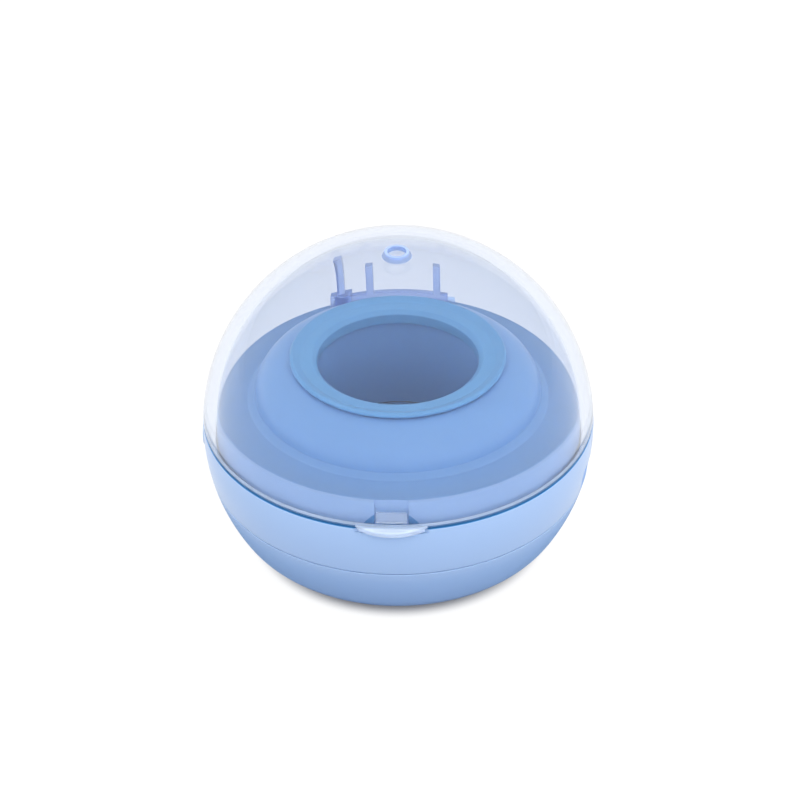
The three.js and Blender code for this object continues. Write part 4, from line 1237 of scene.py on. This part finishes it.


# Real paper round the foot, where the shadow falls, greyer than white there as a painted shadow over the
# real one, that turns into plain white further out
def paintFloor(tree, shader):
    seen = throughRays(tree)
    path = tree.nodes.new("ShaderNodeLightPath").outputs
    coords = tree.nodes.new("ShaderNodeTexCoord").outputs
    middle = (ballCentre.x, ballCentre.y, cadBox[0].z)
    away = addNode(tree, "ShaderNodeVectorMath", {0: coords["Object"], 1: middle}, operation="DISTANCE")
    # in a mirror image the near paper reaches further out and takes a dark blue of its own, a painted shade
    # on the lower shell's reflection
    onlyMirror = mathNode(tree, "SUBTRACT", path["Is Glossy Ray"], path["Is Transmission Ray"])
    onlyMirror = mathNode(tree, "MAXIMUM", onlyMirror, 0.0)
    reach = mathNode(tree, "MULTIPLY", onlyMirror, studio.mirrorReach)
    reach = mathNode(tree, "SUBTRACT", away.outputs["Value"], reach)
    near = speckle(tree, studio.paperGrain, 2)
    near = tone(tree, near, studio.nearPaper, paler(studio.nearPaper))
    near = blend(tree, onlyMirror, near, studio.mirrorPaper)
    shadow = (studio.shadowFrom, studio.shadowTo)
    far = ramped(tree, reach, *shadow)
    paper = blend(tree, far, near, studio.farPaper)
    # the paper throws back a darker, bluer light on the object than the one it is seen in
    bounce = blend(tree, domeRays(tree), studio.bounceColour, studio.insideBounce)
    lift = ramped(tree, reach, *shadow, studio.nearLift, studio.farLift)
    feed(tree, shader, {
        "Base Color": blend(tree, seen, bounce, paper),
        "Roughness": 0.9,
        "Emission Color": seenColour(tree),
        "Emission Strength": mathNode(tree, "MULTIPLY", lift, seen),
    })
    # from below the floor is not there at all, so that the underside can be seen
    behind = tree.nodes.new("ShaderNodeNewGeometry").outputs["Backfacing"]
    passed = mathNode(tree, "GREATER_THAN", path["Transparent Depth"], 0.5)
    choose = addNode(tree, "ShaderNodeMixShader", {
        "Fac": mathNode(tree, "MAXIMUM", behind, passed),
        1: shader.outputs["BSDF"],
        2: tree.nodes.new("ShaderNodeBsdfTransparent").outputs["BSDF"],
    })
    feed(tree, tree.nodes["Material Output"], {"Surface": choose.outputs["Shader"]})


def makeFloor():
    bm = bmesh.new()
    bmesh.ops.create_grid(bm, x_segments=1, y_segments=1, size=studio.floorSize / 2)
    bmesh.ops.translate(bm, vec=(0, 0, cadBox[0].z), verts=bm.verts)
    material, tree, shader = startMaterial("paper")
    paintFloor(tree, shader)
    floor = finishMesh("floor", bm, material)
    if floor.data.polygons[0].normal.z < 0:
        floor.data.flip_normals()


# White where it is seen, and a soft light from above, stronger from the front, where it lights the object
def makeWorld():
    world = bpy.data.worlds.new("studio")
    world.use_nodes = True
    bpy.context.scene.world = world
    tree = world.node_tree
    tree.nodes.clear()
    coords = tree.nodes.new("ShaderNodeTexCoord").outputs["Generated"]
    split = addNode(tree, "ShaderNodeSeparateXYZ", {"Vector": coords}).outputs
    rise = ramped(tree, split["Z"], *studio.skyRange, studio.skyLow, studio.skyTop)
    glowFrom = Vector(studio.glowFrom).normalized()
    facing = addNode(tree, "ShaderNodeVectorMath", {0: coords, 1: glowFrom}, operation="DOT_PRODUCT")
    ahead = mathNode(tree, "MAXIMUM", facing.outputs["Value"], 0.0)
    glow = mathNode(tree, "MULTIPLY", mathNode(tree, "POWER", ahead, studio.glowFocus), studio.glow)
    beside = mathNode(tree, "POWER", mathNode(tree, "ABSOLUTE", split["X"]), studio.sideFocus)
    sides = mathNode(tree, "MULTIPLY", beside, studio.sideGlow)
    around = mathNode(tree, "ADD", rise, mathNode(tree, "ADD", glow, sides))
    # the dome keeps the lamp out, so the light that comes in through it is stronger
    gain = mathNode(tree, "ADD", mathNode(tree, "MULTIPLY", domeRays(tree), studio.insideGain), 1.0)
    # only a view from below lets the light under the horizon in, and it is weaker
    under = ramped(tree, split["Z"], *studio.horizon, studio.lowGain, 1.0)
    strength = mathNode(tree, "MULTIPLY", around, mathNode(tree, "MULTIPLY", gain, under))
    lit = addNode(tree, "ShaderNodeBackground", {"Color": (1, 1, 1, 1), "Strength": strength})
    seen = addNode(tree, "ShaderNodeBackground", {"Color": seenColour(tree)})
    choose = addNode(tree, "ShaderNodeMixShader", {
        "Fac": throughRays(tree), 1: lit.outputs["Background"], 2: seen.outputs["Background"],
    })
    addNode(tree, "ShaderNodeOutputWorld", {"Surface": choose.outputs["Shader"]})


def makeKeyLamp():
    data = bpy.data.lights.new("keyLamp", "AREA")
    data.shape = "SQUARE"
    data.size = studio.keySize
    data.energy = studio.keyPower
    key = bpy.data.objects.new("keyLamp", data)
    bpy.context.scene.collection.objects.link(key)
    key.location = studio.keyFrom
    key.visible_glossy = False  # the clear dome mirrors the plain backdrop, not the lamp
    key.visible_transmission = False
    key.rotation_euler = (ballCentre - key.location).to_track_quat("-Z", "Y").to_euler()


def makeCamera():
    radius = ball.radius * mm
    azimuth = math.radians(shot.azimuth)
    elevation = math.radians(shot.elevation)
    back = Vector((
        math.sin(azimuth) * math.cos(elevation),
        -math.cos(azimuth) * math.cos(elevation),
        math.sin(elevation),
    ))
    data = bpy.data.cameras.new("camera")
    camera = bpy.data.objects.new("camera", data)
    bpy.context.scene.collection.objects.link(camera)
    camera.location = ballCentre + back * radius * shot.distance
    camera.rotation_mode = "QUATERNION"
    aim = (-back).to_track_quat("-Z", "Y")
    camera.rotation_quaternion = aim @ Matrix.Rotation(math.radians(shot.roll), 4, "Z").to_quaternion()
    data.sensor_width = shot.sensor
    picture = shot.picture
    focalPixels = shot.outline * math.sqrt(shot.distance ** 2 - 1)
    data.lens = focalPixels / picture * data.sensor_width
    data.shift_x = (picture / 2 - shot.centre[0]) / picture
    data.shift_y = (shot.centre[1] - picture / 2) / picture
    data.clip_start = shot.nearClip
    bpy.context.scene.camera = camera


makeFloor()
makeWorld()
makeKeyLamp()
makeCamera()
bpy.context.scene.view_settings.view_transform = "Standard"
print("stage, light and camera set")
